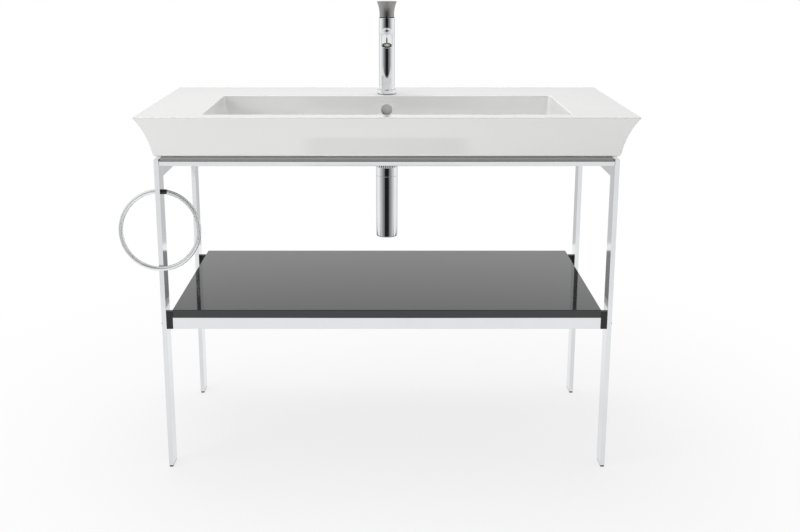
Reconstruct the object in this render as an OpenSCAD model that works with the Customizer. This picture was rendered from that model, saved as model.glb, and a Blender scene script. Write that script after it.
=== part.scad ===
// Vanity basin on a chrome console with a shelf, a mixer tap, a waste, a bottle trap and a towel ring.
// X runs to the right, Y to the back and Z up. The origin is on the floor under the middle of the basin.

/* [Basin] */
// Width of the rim
basin_w = 1050; // [1000:10:1100]
// Depth of the rim, front to back
basin_d = 490; // [480:5:500]
// Height of the rim above the floor
rim_z = 803; // [790:1:830]
// Height of the flanks, from the rim to the lower edge
flank_h = 90; // [84:1:94]
// How far the flanks run in below the rim
flank_inset = 31; // [27:1:34]
// Radius of the hollow curve of the flanks
flank_r = 195; // [180:1:230]
// Upright land of the rim edge
edge_t = 3; // [2:0.5:4]
// Radius of the lower edge
foot_r = 9; // [5:1:10]
// Thickness of the ceramic walls
wall_t = 12; // [10:0.5:13]
// Thickness of the deck
deck_t = 14; // [12:1:16]
// Side of the solid corner lands under the deck
land_w = 70; // [60:1:80]
// Deck on each side of the bowl
bowl_side = 136; // [125:1:155]
// Deck in front of the bowl
bowl_front = 41; // [38:1:44]
// Depth of the bowl at the foot of its walls
bowl_depth = 96; // [90:1:100]
// Fall of the bowl's floor to the drain
bowl_fall = 6; // [4:1:8]
// Slope of the bowl's walls, in degrees
bowl_draft = 7; // [5:1:9]
// Radius between the bowl's walls and floor
bowl_r = 20; // [15:1:25]
// Diameter of the overflow hole
overflow_d = 26; // [22:1:27]
// Height of the rim above the overflow hole's centre
overflow_drop = 34; // [31:1:40]
// Inner width of the overflow channel
channel_w = 44; // [40:1:50]
// Inner depth of the overflow channel
channel_t = 8; // [7:0.5:8]
// Ceramic between the overflow channel and the underside
channel_floor = 7; // [6:0.5:8]
// Diameter of the tap hole
tap_hole_d = 35; // [34:0.5:37]
// Distance of the tap's axis from the back edge
tap_back = 115; // [112:1:117]
// Diameter of the two wall bolt holes
hanger_d = 14; // [12:1:18]
// Spacing of the two wall bolt holes
hanger_w = 280; // [240:10:320]
// Height of the rim above the wall bolt holes
hanger_drop = 48; // [40:1:55]
// Diameter of the rubber pads under the basin
pad_d = 20; // [16:1:22]

/* [Console] */
// Gap between the tops of the legs and the basin's lower edge
leg_gap = 5; // [4:0.5:9]
// Setback of the legs' outer faces inside the basin's ends
console_side = 33; // [32:1:40]
// Setback of the front legs behind the rim
console_back = 29; // [27:1:36]
// Gap between the rear legs and the wall
console_gap = 25; // [21:1:28]
// Thickness of the flat bar
bar_t = 10; // [8:0.5:12]
// Width of the flat bar
bar_w = 40; // [38:1:44]
// Radius on the long edges of the flat bar
bar_r = 1; // [0.5:0.1:2]
// Step from the top of the legs down to the top of the rails
rail_step = 3.5; // [2:0.5:5]
// Thickness of the foot pads
foot_t = 4; // [3:0.5:6]
// Setback of the foot pads inside the bar's outline
foot_in = 0.8; // [0.5:0.1:1.5]

/* [Shelf] */
// Height of the shelf's top face
shelf_z = 374; // [340:1:420]
// Thickness of the shelf board
board_t = 17.5; // [15:0.5:20]
// Gap between the shelf board and the wall
board_gap = 5; // [3:1:15]
// Gap between a leg and the board, filled by a spacer
spacer_w = 14; // [12:0.5:16]
// Depth of a spacer, front to back
spacer_d = 12; // [11:0.5:16]
// Height of a spacer
spacer_h = 40; // [38:1:42]
// Step from the board's top face down to the top of a spacer
spacer_step = 4; // [3:0.5:6]
// Height of the shelf frame's rails
frame_h = 26; // [24:1:28]
// Thickness of the shelf frame's rails
frame_t = 10; // [8:0.5:12]
// Thread diameter of the screws that hold the frame
frame_screw_d = 6; // [5:0.5:6]
// Thread diameter of the screws that hold the board
board_screw_d = 4; // [3.5:0.1:5]
// Thread length of a board screw inside the board
board_screw_bite = 11; // [9:0.5:12]

/* [Tap] */
// Diameter of the base ring
ring_d = 47; // [45:0.5:50]
// Height of the base ring
ring_h = 10; // [8:0.5:12]
// Diameter of the tap's column
column_d = 38; // [37:0.5:40]
// Height of the column's upper edge above the rim
column_h = 181; // [170:1:200]
// Wall of the column
column_wall = 3; // [2.5:0.1:3.2]
// Radius of the domed top, from the point that the handle tilts on
dome_r = 40; // [38:1:44]
// Height of the handle
handle_h = 37; // [32:1:42]
// Diameter of the handle at its foot
handle_foot_d = 35; // [34:0.5:36]
// Diameter of the handle at its top
handle_top_d = 47; // [44:0.5:50]
// Radius of the hollow curve of the handle
handle_r = 75; // [62:1:100]
// Outer diameter of the spout
spout_d = 26; // [24:0.5:27]
// Wall of the spout
spout_wall = 2; // [1.8:0.1:2.2]
// Height of the spout's axis above the rim
spout_h = 143; // [140:1:148]
// Reach from the tap's axis to the middle of the outlet
spout_reach = 120; // [110:1:135]
// Radius of the spout's bend
bend_r = 24.5; // [22:0.5:26]
// Straight length between the spout's bend and its outlet
spout_tip = 8; // [7:0.5:9]
// Angle of the spout's bend, in degrees
bend_a = 57; // [50:1:62]
// Diameter of the threaded shank
shank_d = 28; // [26:0.5:29]
// Length of the shank below the rim
shank_l = 58; // [52:1:62]
// Diameter of the two supply inlets
inlet_d = 8.5; // [8:0.1:9]
// Spacing of the two supply inlets
inlet_w = 12; // [11:0.5:12.5]
// Tilt of the handle at full flow, in degrees
tilt_max = 15; // [10:1:16]

/* [Waste and trap] */
// Outer diameter of the waste's thread
waste_d = 42; // [40:0.5:42]
// Wall of the waste
waste_wall = 2.5; // [2:0.1:3]
// Diameter of the waste's flange
flange_d = 64; // [62:1:68]
// Diameter of the drain hole in the ceramic
drain_d = 45; // [44:0.5:46]
// Diameter of the plug's cover
cover_d = 60; // [56:1:61]
// Outer diameter of the bottle trap
trap_d = 49; // [48:0.5:52]
// Height of the trap's head, down to its seam
head_h = 21.2; // [20.5:0.1:22]
// Length of the trap's bottle below the seam
bottle_l = 141.5; // [120:0.5:160]
// Wall of the bottle
trap_wall = 1.8; // [1.5:0.1:2]
// Outer diameter of the trap's tubes
tube_d = 32; // [30:0.5:32]
// Wall of the trap's tubes
tube_wall = 1; // [0.8:0.1:1.5]
// Drop from the trap's seam to the outlet's axis
outlet_drop = 22; // [21:0.5:26]
// Diameter of the wall rosette
rosette_d = 70; // [64:1:76]
// Thickness of the wall rosette
rosette_t = 8; // [6:0.5:12]

/* [Towel ring] */
// Outer diameter of the towel ring
towel_d = 178; // [170:1:184]
// Thickness of the ring's rod
rod_d = 9.8; // [9.4:0.1:10.4]
// Distance of the ring's pivot below the top of the leg
pivot_drop = 72; // [60:1:88]
// Distance of the pivot behind the leg's front face
pivot_back = 13; // [12:0.5:16]
// Diameter of the pivot pin
pin_d = 6; // [5.5:0.1:6]
// Outer diameter of the bush
bush_d = 10.5; // [10:0.1:11]
// How far the bush stands out of the leg
bush_out = 12; // [10:0.5:14]

/* [Fits] */
// Gap between parts that turn or slide on each other
run_gap = 0.3; // [0.25:0.05:0.4]
// Radial gap of a pin that turns in its bush
pin_gap = 0.05; // [0.03:0.01:0.08]
// Radial gap of a screw or thread in its hole
thread_gap = 0.1; // [0.05:0.05:0.2]
// Radial gap around a tube that passes through a plate
pass_gap = 0.5; // [0.4:0.1:1]

/* [Hidden] */
$fn = 64;
// Overrun of every cut
over = 1;

// Basin
front_y = -basin_d / 2;
back_y = basin_d / 2;
basin_z = rim_z - flank_h;
deck_z = rim_z - deck_t;
shell_t = 12;
tap_y = back_y - tap_back;
tap_washer_d = 44;
channel_back = 2;
channel_wall = 5.5;
// The bowl reaches back as far as its overflow channel and the tap's washers leave room
bowl_w = basin_w - 2 * bowl_side;
bowl_l = basin_d - bowl_front - tap_back - tap_washer_d / 2 - pass_gap
    - channel_wall - channel_t - channel_back;
bowl_y = front_y + bowl_front + bowl_l / 2;
bowl_in = bowl_depth * tan(bowl_draft);
drain_y = bowl_y;
drain_z = rim_z - bowl_depth - bowl_fall;
channel_y = bowl_y + bowl_l / 2 + channel_back;
channel_z = drain_z - wall_t - channel_t;
boss_z = channel_z - channel_floor;
boss_edge = 2;
boss_d = flange_d + 2 * boss_edge;
recess_h = 3;
overflow_z = rim_z - overflow_drop;
hanger_z = rim_z - hanger_drop;

// Centre of the flanks' curve, counted in from the rim's edge and down from the rim
chord = [flank_inset, flank_h - edge_t];
curve_c = [0, edge_t] + chord / 2
    + [-chord[1], chord[0]] / norm(chord) * sqrt(flank_r * flank_r - chord * chord / 4);
// Centre of the lower edge's radius, tangent to the flank and to the underside
foot_rise = flank_h - foot_r - curve_c[1];
foot_c = [curve_c[0] + sqrt(pow(flank_r + foot_r, 2) - foot_rise * foot_rise), flank_h - foot_r];
foot_p = curve_c + (foot_c - curve_c) * flank_r / (flank_r + foot_r);

// Console
console_w = basin_w - 2 * console_side;
console_d = basin_d - console_back - console_gap;
leg_h = basin_z - leg_gap;
leg_front_y = front_y + console_back;
leg_back_y = leg_front_y + console_d;
leg_x = (console_w - bar_t) / 2;
leg_ys = [leg_front_y + bar_w / 2, leg_back_y - bar_w / 2];
rail_z = leg_h - rail_step;
neck_y = front_y + bowl_front - shell_t + (rim_z - rail_z) * tan(bowl_draft) - pass_gap;
inner_w = console_w - 2 * bar_t;
pad_in = 2;
pad_x = inner_w / 2 - pad_in - pad_d / 2;
strip_in = 1.5;
strip_y = leg_front_y + strip_in;
strip_d = front_y + foot_c[0] - run_gap - strip_y;

// Shelf
board_w = inner_w - 2 * spacer_w;
board_d = back_y - board_gap - leg_front_y;
board_z = shelf_z - board_t;
frame_z = board_z - frame_h;
frame_ys = [leg_front_y + frame_t / 2, leg_back_y - frame_t / 2];
spacer_z = shelf_z - spacer_step - spacer_h;
spacer_ys = [leg_front_y + spacer_d / 2, leg_back_y - spacer_d / 2];
frame_screw_z = frame_z + frame_h / 2;
frame_screw_bite = 14;
frame_head_d = 2 * frame_screw_d;
frame_head_h = frame_screw_d / 2;
board_screw_xs = [for (i = [-1:1]) i * board_w / 3];
board_head_d = 2 * board_screw_d;
board_head_h = board_screw_d / 2;
socket_share = 0.55;

// Tap
column_z = rim_z + ring_h;
column_top_z = rim_z + column_h;
column_floor = 8;
tilt_z = column_top_z - sqrt(dome_r * dome_r - column_d * column_d / 4);
bore_d = column_d - 2 * column_wall;
cap_t = 1.4;
stem_d = 8;
ball_d = 16;
core_d = 24;
core_drop = 14;
housing_floor = 4;
housing_z = tilt_z - core_drop - run_gap - housing_floor;
housing_drop = 12;
housing_top_z = tilt_z + dome_r - housing_drop;
port_d = 10;
nut_h = 4;
nut_bore_d = max(core_d + 2 * run_gap, 2 * run_gap
    + 2 * (housing_top_z + nut_h - tilt_z) * tan(tilt_max) + stem_d / cos(tilt_max));
pivot_d = 4;
pivot_in = 0.5;
handle_gap = 0.8;
handle_sphere_r = dome_r + handle_gap;
handle_z = tilt_z + sqrt(pow(handle_sphere_r, 2) - pow(handle_foot_d / 2, 2));
handle_edge = 0.8;
stem_bite = 16;
stem_top_z = tilt_z + dome_r + stem_bite;
grub_d = 4;
grub_z = tilt_z + dome_r + stem_bite / 2;
grub_in = 1.5;
spout_z = rim_z + spout_h;
bend_y = tap_y - spout_reach + bend_r * sin(bend_a) + spout_tip * cos(bend_a);
bend_z = spout_z - bend_r;
spout_root_y = tap_y - bore_d / 2 - column_wall / 3;
aerator_d = spout_d - 2 * spout_wall;
aerator_l = 7;
aerator_wall = 1.3;
aerator_in = 0.6;
insert_in = 1.8;
insert_l = 5;
insert_slot = 1.2;
base_seal_t = 1;
base_seal_in = 1;
shank_z = rim_z - shank_l;
shank_wall = 3;
inlet_l = 14;
rubber_t = 3;
steel_t = 2;
tap_nut_d = 40;
tap_nut_h = 8;

// Waste
flange_t = 2.5;
top_seal_t = 1;
waste_top_z = drain_z - recess_h + top_seal_t + flange_t;
waste_bore_d = waste_d - 2 * waste_wall;
bottom_seal_t = 2.5;
backnut_d = 56;
backnut_h = 9;
backnut_z = boss_z - bottom_seal_t - backnut_h;
window_w = 14;
spider_h = 6;
spider_w = 5;
spider_gap = 1;
spider_z = channel_z - spider_gap - spider_h;
click_d = 13;
click_l = 18;
click_floor = 2;
click_z = spider_z + spider_h - click_l;
plug_stem_d = 7;
cover_t = 2.5;
cover_crown = 2;
cover_z = waste_top_z + run_gap;
plug_boss_gap = 3.5;
plug_boss_d = waste_bore_d - 2 * plug_boss_gap;
plug_boss_h = 7;
plug_seal_h = 3;

// Trap
neck_h = 4;
neck_wall = 2.5;
neck_d = trap_d - 2 * neck_wall;
neck_bore_d = neck_d - 2 * trap_wall;
neck_seal_t = 1.2;
lip_t = 3;
dip_flange_t = 2;
head_seal_t = 2.5;
head_top_z = backnut_z - run_gap;
seam_z = head_top_z - head_h;
trap_z = seam_z - bottle_l;
outlet_z = seam_z - outlet_drop;
lip_z = seam_z + neck_h + neck_seal_t;
waste_z = lip_z + lip_t + dip_flange_t + head_seal_t;
bottle_floor = 2.5;
bottle_edge = 1.5;
bottle_shoulder = 2.5;
dip_z = trap_z + trap_d / 2;
stub_wall = 3;
stub_d = tube_d + 2 * stub_wall;
stub_l = 20;
stub_y = drain_y + trap_d / 2 + stub_l;
tube_y = drain_y + trap_d / 2 + bottle_shoulder;
tube_seal_t = 2;
outlet_nut_wall = 3;
outlet_nut_d = stub_d + 2 * outlet_nut_wall;
outlet_nut_l = 16;
outlet_lip = 3;
rosette_edge = 1;

// Towel ring
ring_r = (towel_d - rod_d) / 2;
pivot_y = leg_front_y + pivot_back;
pivot_z = leg_h - pivot_drop;
neck_from = -bar_t / 2 - 3 * run_gap;
neck_to = bar_t / 2 + bush_out + 3 * run_gap;
ring_drop = (sqrt(ring_r * ring_r - neck_to * neck_to) + sqrt(ring_r * ring_r - neck_from * neck_from)) / 2;
ring_lean = asin((pivot_back + rod_d / 2 + run_gap) / (ring_drop + ring_r));
pin_bite = 3;
bush_bore_d = pin_d + 2 * pin_gap;

ceramic = "white";
chrome = "silver";
black = "dimgray";

// General shapes

function unit(v) = v / norm(v);

// A convex outline, listed anticlockwise, with a radius on each corner that has one
module rounded(points, radii) {
    n = len(points);
    corners = [for (i = [0:n - 1]) let (
        a = unit(points[(i + n - 1) % n] - points[i]),
        b = unit(points[(i + 1) % n] - points[i]),
        half = acos(a * b) / 2)
        [points[i], a, b, radii[i] / tan(half), unit(a + b) * radii[i] / sin(half), radii[i]]];
    polygon([for (c = corners) each (c[5] > 0 ? [c[0] + c[1] * c[3], c[0] + c[2] * c[3]] : [c[0]])]);
    for (c = corners) if (c[5] > 0) translate(c[0] + c[4]) circle(c[5]);
}

// A bar of rounded rectangular section that stands on z = 0
module bar(w, d, l) {
    linear_extrude(l)
        rounded([[-w, -d] / 2, [w, -d] / 2, [w, d] / 2, [-w, d] / 2], [bar_r, bar_r, bar_r, bar_r]);
}

module tube(d_out, d_in, h) {
    difference() {
        cylinder(d = d_out, h = h);
        translate([0, 0, -over]) cylinder(d = d_in, h = h + 2 * over);
    }
}

// A hole through a piece that starts at z = 0
module hole(d, h) { translate([0, 0, -over]) cylinder(d = d, h = h + 2 * over); }

// A countersunk screw that points along +Z, with its head's face at z = 0
module screw(d, head_d, head_h, l) {
    difference() {
        union() {
            cylinder(d1 = head_d, d2 = d, h = head_h);
            cylinder(d = d, h = l);
        }
        translate([0, 0, -over]) cylinder(d = d * socket_share / cos(30), h = head_h + over, $fn = 6);
    }
}

module screw_hole(d, head_d, head_h, l) {
    translate([0, 0, -over]) cylinder(d = d + 2 * thread_gap, h = l + over);
    cylinder(d1 = head_d + 2 * thread_gap, d2 = d + 2 * thread_gap, h = head_h);
    translate([0, 0, -over]) cylinder(d = head_d + 2 * thread_gap, h = over);
}

// Turns what is drawn along Z so that it lies along X or Y
module along_x() { rotate([90, 0, 90]) children(); }
module along_y() { rotate([-90, 0, 0]) children(); }

module at_drain(z) { translate([0, drain_y, z]) children(); }
module at_tap(z) { translate([0, tap_y, z]) children(); }

// Basin

// Half of the outline, from the rim's edge inwards, hanging down from the rim
module flank(u) {
    mirror([0, 1]) {
        difference() {
            polygon([[0, 0], [u, 0], [u, flank_h], [foot_c[0], flank_h], foot_p, [0, foot_p[1]]]);
            translate(curve_c) circle(flank_r, $fn = 4 * $fn);
        }
        translate(foot_c) circle(foot_r);
    }
}

// The hollow under the deck, a wall's thickness inside the flank
module under(u) {
    mirror([0, 1]) difference() {
        translate([0, deck_t]) square([u, flank_h - deck_t + over]);
        translate(curve_c) circle(flank_r + wall_t, $fn = 4 * $fn);
    }
}

module basin_outer() {
    translate([0, 0, rim_z]) intersection() {
        rotate([90, 0, 0]) linear_extrude(basin_d, center = true)
            for (side = [0, 1]) mirror([side, 0]) translate([-basin_w / 2, 0]) flank(basin_w / 2 + over);
        along_x() linear_extrude(basin_w, center = true) translate([front_y, 0]) flank(basin_d);
    }
}

module basin_under() {
    translate([0, 0, rim_z]) intersection() {
        rotate([90, 0, 0]) linear_extrude(basin_d + over, center = true)
            for (side = [0, 1]) mirror([side, 0]) translate([-basin_w / 2, 0]) under(basin_w / 2 + over);
        along_x() linear_extrude(basin_w, center = true) translate([front_y, 0]) under(basin_d - wall_t);
    }
}

// Outline of the bowl across one side; the floor falls to the middle
module bowl_outline(side, grow) {
    low = side / 2 + grow - bowl_in;
    top = side / 2 + grow + over * tan(bowl_draft);
    rounded([[-low, -bowl_depth - grow], [0, -bowl_depth - bowl_fall - grow],
        [low, -bowl_depth - grow], [top, over], [-top, over]],
        [bowl_r + grow, 0, bowl_r + grow, 0, 0]);
}

module bowl(grow) {
    translate([0, bowl_y, rim_z]) intersection() {
        rotate([90, 0, 0]) linear_extrude(basin_d, center = true) bowl_outline(bowl_w, grow);
        along_x() linear_extrude(basin_w, center = true) bowl_outline(bowl_l, grow);
    }
}

// The overflow channel runs down behind the bowl and forward under its floor to the drain
module channel(wall, floor) {
    w = channel_w + 2 * wall;
    top = overflow_z + overflow_d / 2 - channel_z;
    translate([-w / 2, channel_y - wall, channel_z - floor])
        cube([w, channel_t + 2 * wall, top + floor + wall]);
    translate([-w / 2, drain_y, channel_z - floor])
        cube([w, channel_y + channel_t + wall - drain_y, channel_t + floor + wall]);
}

module lands() {
    intersection() {
        basin_outer();
        for (x = [-1, 1], y = [-1, 1])
            translate([x * (basin_w - land_w) / 2, y * (basin_d - land_w) / 2, basin_z])
                linear_extrude(flank_h - edge_t) square(land_w, center = true);
    }
}

module bowl_shell() {
    intersection() {
        bowl(shell_t);
        translate([-basin_w / 2, front_y + wall_t, basin_z - flank_h])
            cube([basin_w, basin_d - 2 * wall_t, 2 * flank_h - edge_t]);
    }
}

module basin() color(ceramic) {
    difference() {
        union() {
            difference() { basin_outer(); basin_under(); }
            lands();
            bowl_shell();
            channel(channel_wall, channel_floor);
            at_drain(boss_z) cylinder(d = boss_d, h = drain_z - boss_z);
        }
        bowl(0);
        channel(0, 0);
        at_drain(boss_z) hole(drain_d, flank_h);
        at_drain(drain_z - recess_h) cylinder(d = flange_d + 2 * pass_gap, h = flank_h);
        at_tap(deck_z) hole(tap_hole_d, deck_t);
        translate([0, channel_y - bowl_in - channel_t, overflow_z])
            along_y() cylinder(d = overflow_d, h = bowl_in + 3 / 2 * channel_t);
        for (x = [-1, 1]) translate([x * hanger_w / 2, back_y - wall_t, hanger_z])
            along_y() hole(hanger_d, wall_t);
    }
}

module basin_pads() color(black) {
    for (x = [-pad_x, pad_x], y = leg_ys) translate([x, y, rail_z])
        cylinder(d = pad_d, h = basin_z - rail_z);
}

// The strip that closes the gap between the front rail and the basin's lower edge
module front_strip() color(black) {
    translate([run_gap - inner_w / 2, strip_y, rail_z])
        cube([inner_w - 2 * run_gap, strip_d, basin_z - rail_z]);
}

// Tap

module tap_base_ring() color(chrome) {
    at_tap(rim_z + base_seal_t) tube(ring_d, shank_d + 2 * pass_gap, ring_h - base_seal_t);
}

module tap_base_seal() color(black) {
    at_tap(rim_z) tube(ring_d - 2 * base_seal_in, tap_hole_d, base_seal_t);
}

module tap_column() color(chrome) {
    difference() {
        union() {
            at_tap(column_z) cylinder(d = column_d, h = tilt_z - column_z);
            intersection() {
                at_tap(tilt_z) cylinder(d = column_d, h = dome_r);
                at_tap(tilt_z) sphere(dome_r);
            }
        }
        at_tap(column_z + column_floor) cylinder(d = bore_d, h = column_h);
        at_tap(column_z) hole(shank_d + 2 * thread_gap, column_floor);
        translate([0, tap_y - column_d, spout_z]) along_y()
            cylinder(d = spout_d + 2 * thread_gap, h = column_d);
    }
}

// A round tube that runs forward from the column and bends down to the outlet
module tap_spout() color(chrome) {
    translate([0, bend_y, spout_z]) along_y() tube(spout_d, aerator_d, spout_root_y - bend_y);
    translate([0, bend_y, bend_z]) rotate([90, 0, 0]) along_x()
        rotate_extrude(angle = bend_a) translate([bend_r, 0]) difference() {
            circle(d = spout_d);
            circle(d = aerator_d);
        }
}

module at_outlet() {
    translate([0, tap_y - spout_reach, bend_z + bend_r * cos(bend_a) - spout_tip * sin(bend_a)])
        rotate([90 + bend_a, 0, 0]) children();
}

// The straight ring at the spout's end that holds the aerator
module spout_collar() color(chrome) {
    at_outlet() translate([0, 0, -spout_tip]) tube(spout_d, aerator_d, spout_tip);
}

module aerator_housing() color(black) {
    at_outlet() translate([0, 0, -aerator_in - aerator_l])
        tube(aerator_d - 2 * thread_gap, aerator_d - 2 * thread_gap - 2 * aerator_wall, aerator_l);
}

module aerator_insert() color("lightgray") {
    d = aerator_d - 4 * thread_gap - 2 * aerator_wall;
    at_outlet() translate([0, 0, -insert_in - insert_l]) difference() {
        cylinder(d = d, h = insert_l);
        for (i = [-2:2]) translate([i * d / 6 - insert_slot / 2, -d / 3, insert_l / 2])
            cube([insert_slot, 2 * d / 3, insert_l]);
    }
}

module cartridge_housing() color("beige") {
    h = housing_top_z - housing_z;
    difference() {
        at_tap(housing_z) cylinder(d = bore_d - 2 * run_gap, h = h);
        at_tap(housing_z + housing_floor) cylinder(d = core_d + 2 * run_gap, h = h);
        for (x = [-1, 1]) translate([x * core_d / 4, tap_y, housing_z]) hole(port_d / 2, housing_floor);
        translate([0, tap_y - bore_d, spout_z - run_gap]) along_y() cylinder(d = port_d, h = bore_d);
    }
}

module cartridge_nut() color("goldenrod") {
    at_tap(housing_top_z) tube(bore_d - 2 * thread_gap, nut_bore_d, nut_h);
}

// The slot in which the stem tilts forward, in the plane through the tap's axis
module tilt_slot() {
    w = stem_d / 2 + run_gap;
    l = dome_r + over;
    far = [-l * sin(tilt_max), l * cos(tilt_max)];
    side = [-cos(tilt_max), -sin(tilt_max)] * w;
    at_tap(tilt_z) along_x() linear_extrude(2 * w, center = true)
        polygon([[w, 0], [w, l + over], far + [0, over], far + side, side]);
}

module mixing_core() color("gainsboro") {
    cap_d = bore_d - 2 * run_gap;
    difference() {
        intersection() {
            union() {
                at_tap(tilt_z - core_drop) cylinder(d = core_d, h = core_drop + dome_r);
                difference() {
                    at_tap(tilt_z) cylinder(d = cap_d, h = dome_r);
                    at_tap(tilt_z) sphere(dome_r - cap_t);
                }
            }
            at_tap(tilt_z) sphere(dome_r);
        }
        at_tap(tilt_z) sphere(d = ball_d + 2 * run_gap);
        at_tap(tilt_z - core_drop) translate([0, 0, -over])
            cylinder(d = ball_d + 2 * run_gap, h = core_drop + over);
        at_tap(tilt_z) along_x() cylinder(d = pivot_d + 2 * pin_gap, h = core_d + over, center = true);
        tilt_slot();
    }
}

// The stem's ball turns on a cross pin in the core
module lever_stem() color("silver") {
    at_tap(tilt_z) sphere(d = ball_d);
    at_tap(tilt_z) cylinder(d = stem_d, h = stem_top_z - tilt_z);
    at_tap(tilt_z) along_x() cylinder(d = pivot_d, h = core_d - 2 * pivot_in, center = true);
}

// The handle flares on a hollow curve from its foot to its top
module handle_outline() {
    foot = [handle_foot_d, 0] / 2;
    top = [handle_top_d / 2, handle_h - handle_edge];
    run = top - foot;
    centre = (foot + top) / 2 + [run[1], -run[0]] / norm(run) * sqrt(handle_r * handle_r - run * run / 4);
    difference() {
        polygon([[0, 0], foot, top, [top[0], handle_h], [0, handle_h]]);
        translate(centre) circle(handle_r, $fn = 4 * $fn);
    }
}

module handle() color("darkgray") {
    difference() {
        at_tap(handle_z) rotate_extrude() handle_outline();
        at_tap(tilt_z) sphere(handle_sphere_r);
        at_tap(tilt_z) cylinder(d = stem_d + 2 * thread_gap, h = stem_top_z + thread_gap - tilt_z);
        translate([0, tap_y, grub_z]) along_y() cylinder(d = grub_d + 2 * thread_gap, h = handle_top_d);
    }
}

module handle_screw() color("dimgray") {
    from = stem_d / 2 + thread_gap;
    l = handle_foot_d / 2 - grub_in - from;
    translate([0, tap_y + from, grub_z]) along_y() difference() {
        cylinder(d = grub_d, h = l);
        translate([0, 0, l / 2]) cylinder(d = grub_d * socket_share / cos(30), h = l, $fn = 6);
    }
}

module tap_shank() color("goldenrod") {
    bore = shank_d - 2 * shank_wall;
    l = column_z + column_floor - shank_z;
    at_tap(shank_z) difference() {
        cylinder(d = shank_d, h = l);
        translate([0, 0, inlet_l]) cylinder(d = bore, h = l);
        for (x = [-1, 1]) translate([x * inlet_w / 2, 0, 0]) hole(inlet_d, inlet_l);
    }
}

module tap_rubber_washer() color(black) {
    at_tap(deck_z - rubber_t) tube(tap_washer_d, shank_d + 2 * pass_gap, rubber_t);
}

module tap_steel_washer() color(chrome) {
    at_tap(deck_z - rubber_t - steel_t) tube(tap_washer_d, shank_d + 2 * pass_gap, steel_t);
}

module tap_nut() color("goldenrod") {
    at_tap(deck_z - rubber_t - steel_t - tap_nut_h) difference() {
        cylinder(d = tap_nut_d, h = tap_nut_h, $fn = 6);
        hole(shank_d + 2 * thread_gap, tap_nut_h);
    }
}

// Waste

module waste_body() color(chrome) {
    difference() {
        union() {
            at_drain(waste_z) tube(waste_d, waste_bore_d, waste_top_z - waste_z);
            at_drain(waste_top_z - flange_t) tube(flange_d, waste_bore_d, flange_t);
            for (turn = [0, 90]) at_drain(spider_z) rotate(turn)
                translate([-(waste_d - waste_wall) / 2, -spider_w / 2, 0])
                    cube([waste_d - waste_wall, spider_w, spider_h]);
            at_drain(spider_z) cylinder(d = click_d + spider_w, h = spider_h);
        }
        at_drain(spider_z) hole(click_d + 2 * thread_gap, spider_h);
        for (turn = [0, 90]) at_drain(channel_z) rotate(turn)
            translate([-window_w / 2, -waste_d / 2 - over, 0])
                cube([window_w, waste_d + 2 * over, channel_t - over]);
    }
}

module waste_top_seal() color(black) {
    at_drain(drain_z - recess_h) tube(flange_d, drain_d, top_seal_t);
}

module waste_bottom_seal() color(black) {
    at_drain(boss_z - bottom_seal_t) tube(backnut_d, waste_d + 2 * pass_gap, bottom_seal_t);
}

module waste_backnut() color(chrome) {
    at_drain(backnut_z) tube(backnut_d, waste_d + 2 * thread_gap, backnut_h);
}

module click_unit() color("white") {
    at_drain(click_z) difference() {
        cylinder(d = click_d, h = click_l);
        translate([0, 0, click_floor]) cylinder(d = plug_stem_d + 2 * pin_gap, h = click_l);
    }
}

module plug_cover() color(chrome) {
    crown_r = (pow(cover_d / 2, 2) + pow(cover_crown, 2)) / (2 * cover_crown);
    stem_z = click_z + click_floor + run_gap;
    difference() {
        union() {
            at_drain(cover_z) cylinder(d = cover_d, h = cover_t);
            intersection() {
                at_drain(cover_z + cover_t - over) cylinder(d = cover_d, h = cover_crown + over);
                at_drain(cover_z + cover_t + cover_crown - crown_r) sphere(crown_r, $fn = 4 * $fn);
            }
            at_drain(cover_z - plug_boss_h) cylinder(d = plug_boss_d, h = plug_boss_h);
            at_drain(stem_z) cylinder(d = plug_stem_d, h = cover_z - stem_z);
        }
        at_drain(cover_z - plug_boss_h / 2 - plug_seal_h / 2)
            tube(cover_d, plug_boss_d - plug_seal_h, plug_seal_h);
    }
}

module plug_seal() color(black) {
    at_drain(cover_z - plug_boss_h / 2 - plug_seal_h / 2)
        tube(waste_bore_d - 2 * run_gap, plug_boss_d - plug_seal_h, plug_seal_h);
}

// Bottle trap

module trap_head() color(chrome) {
    at_drain(seam_z) difference() {
        cylinder(d = trap_d, h = head_top_z - seam_z);
        translate([0, 0, -over]) cylinder(d = neck_d + 2 * thread_gap, h = lip_z - seam_z + over);
        hole(tube_d + 2 * pass_gap, lip_z + lip_t - seam_z);
        translate([0, 0, lip_z + lip_t - seam_z])
            cylinder(d = waste_d + 2 * thread_gap, h = head_top_z - lip_z);
    }
}

module trap_head_seal() color(black) {
    at_drain(waste_z - head_seal_t) tube(waste_d, tube_d, head_seal_t);
}

module trap_dip_tube() color(chrome) {
    at_drain(dip_z) tube(tube_d, tube_d - 2 * tube_wall, lip_z + lip_t + dip_flange_t - dip_z);
    at_drain(lip_z + lip_t) tube(waste_d, tube_d - 2 * tube_wall, dip_flange_t);
}

module trap_neck_seal() color(black) {
    at_drain(seam_z + neck_h) tube(neck_d, neck_bore_d, neck_seal_t);
}

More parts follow.
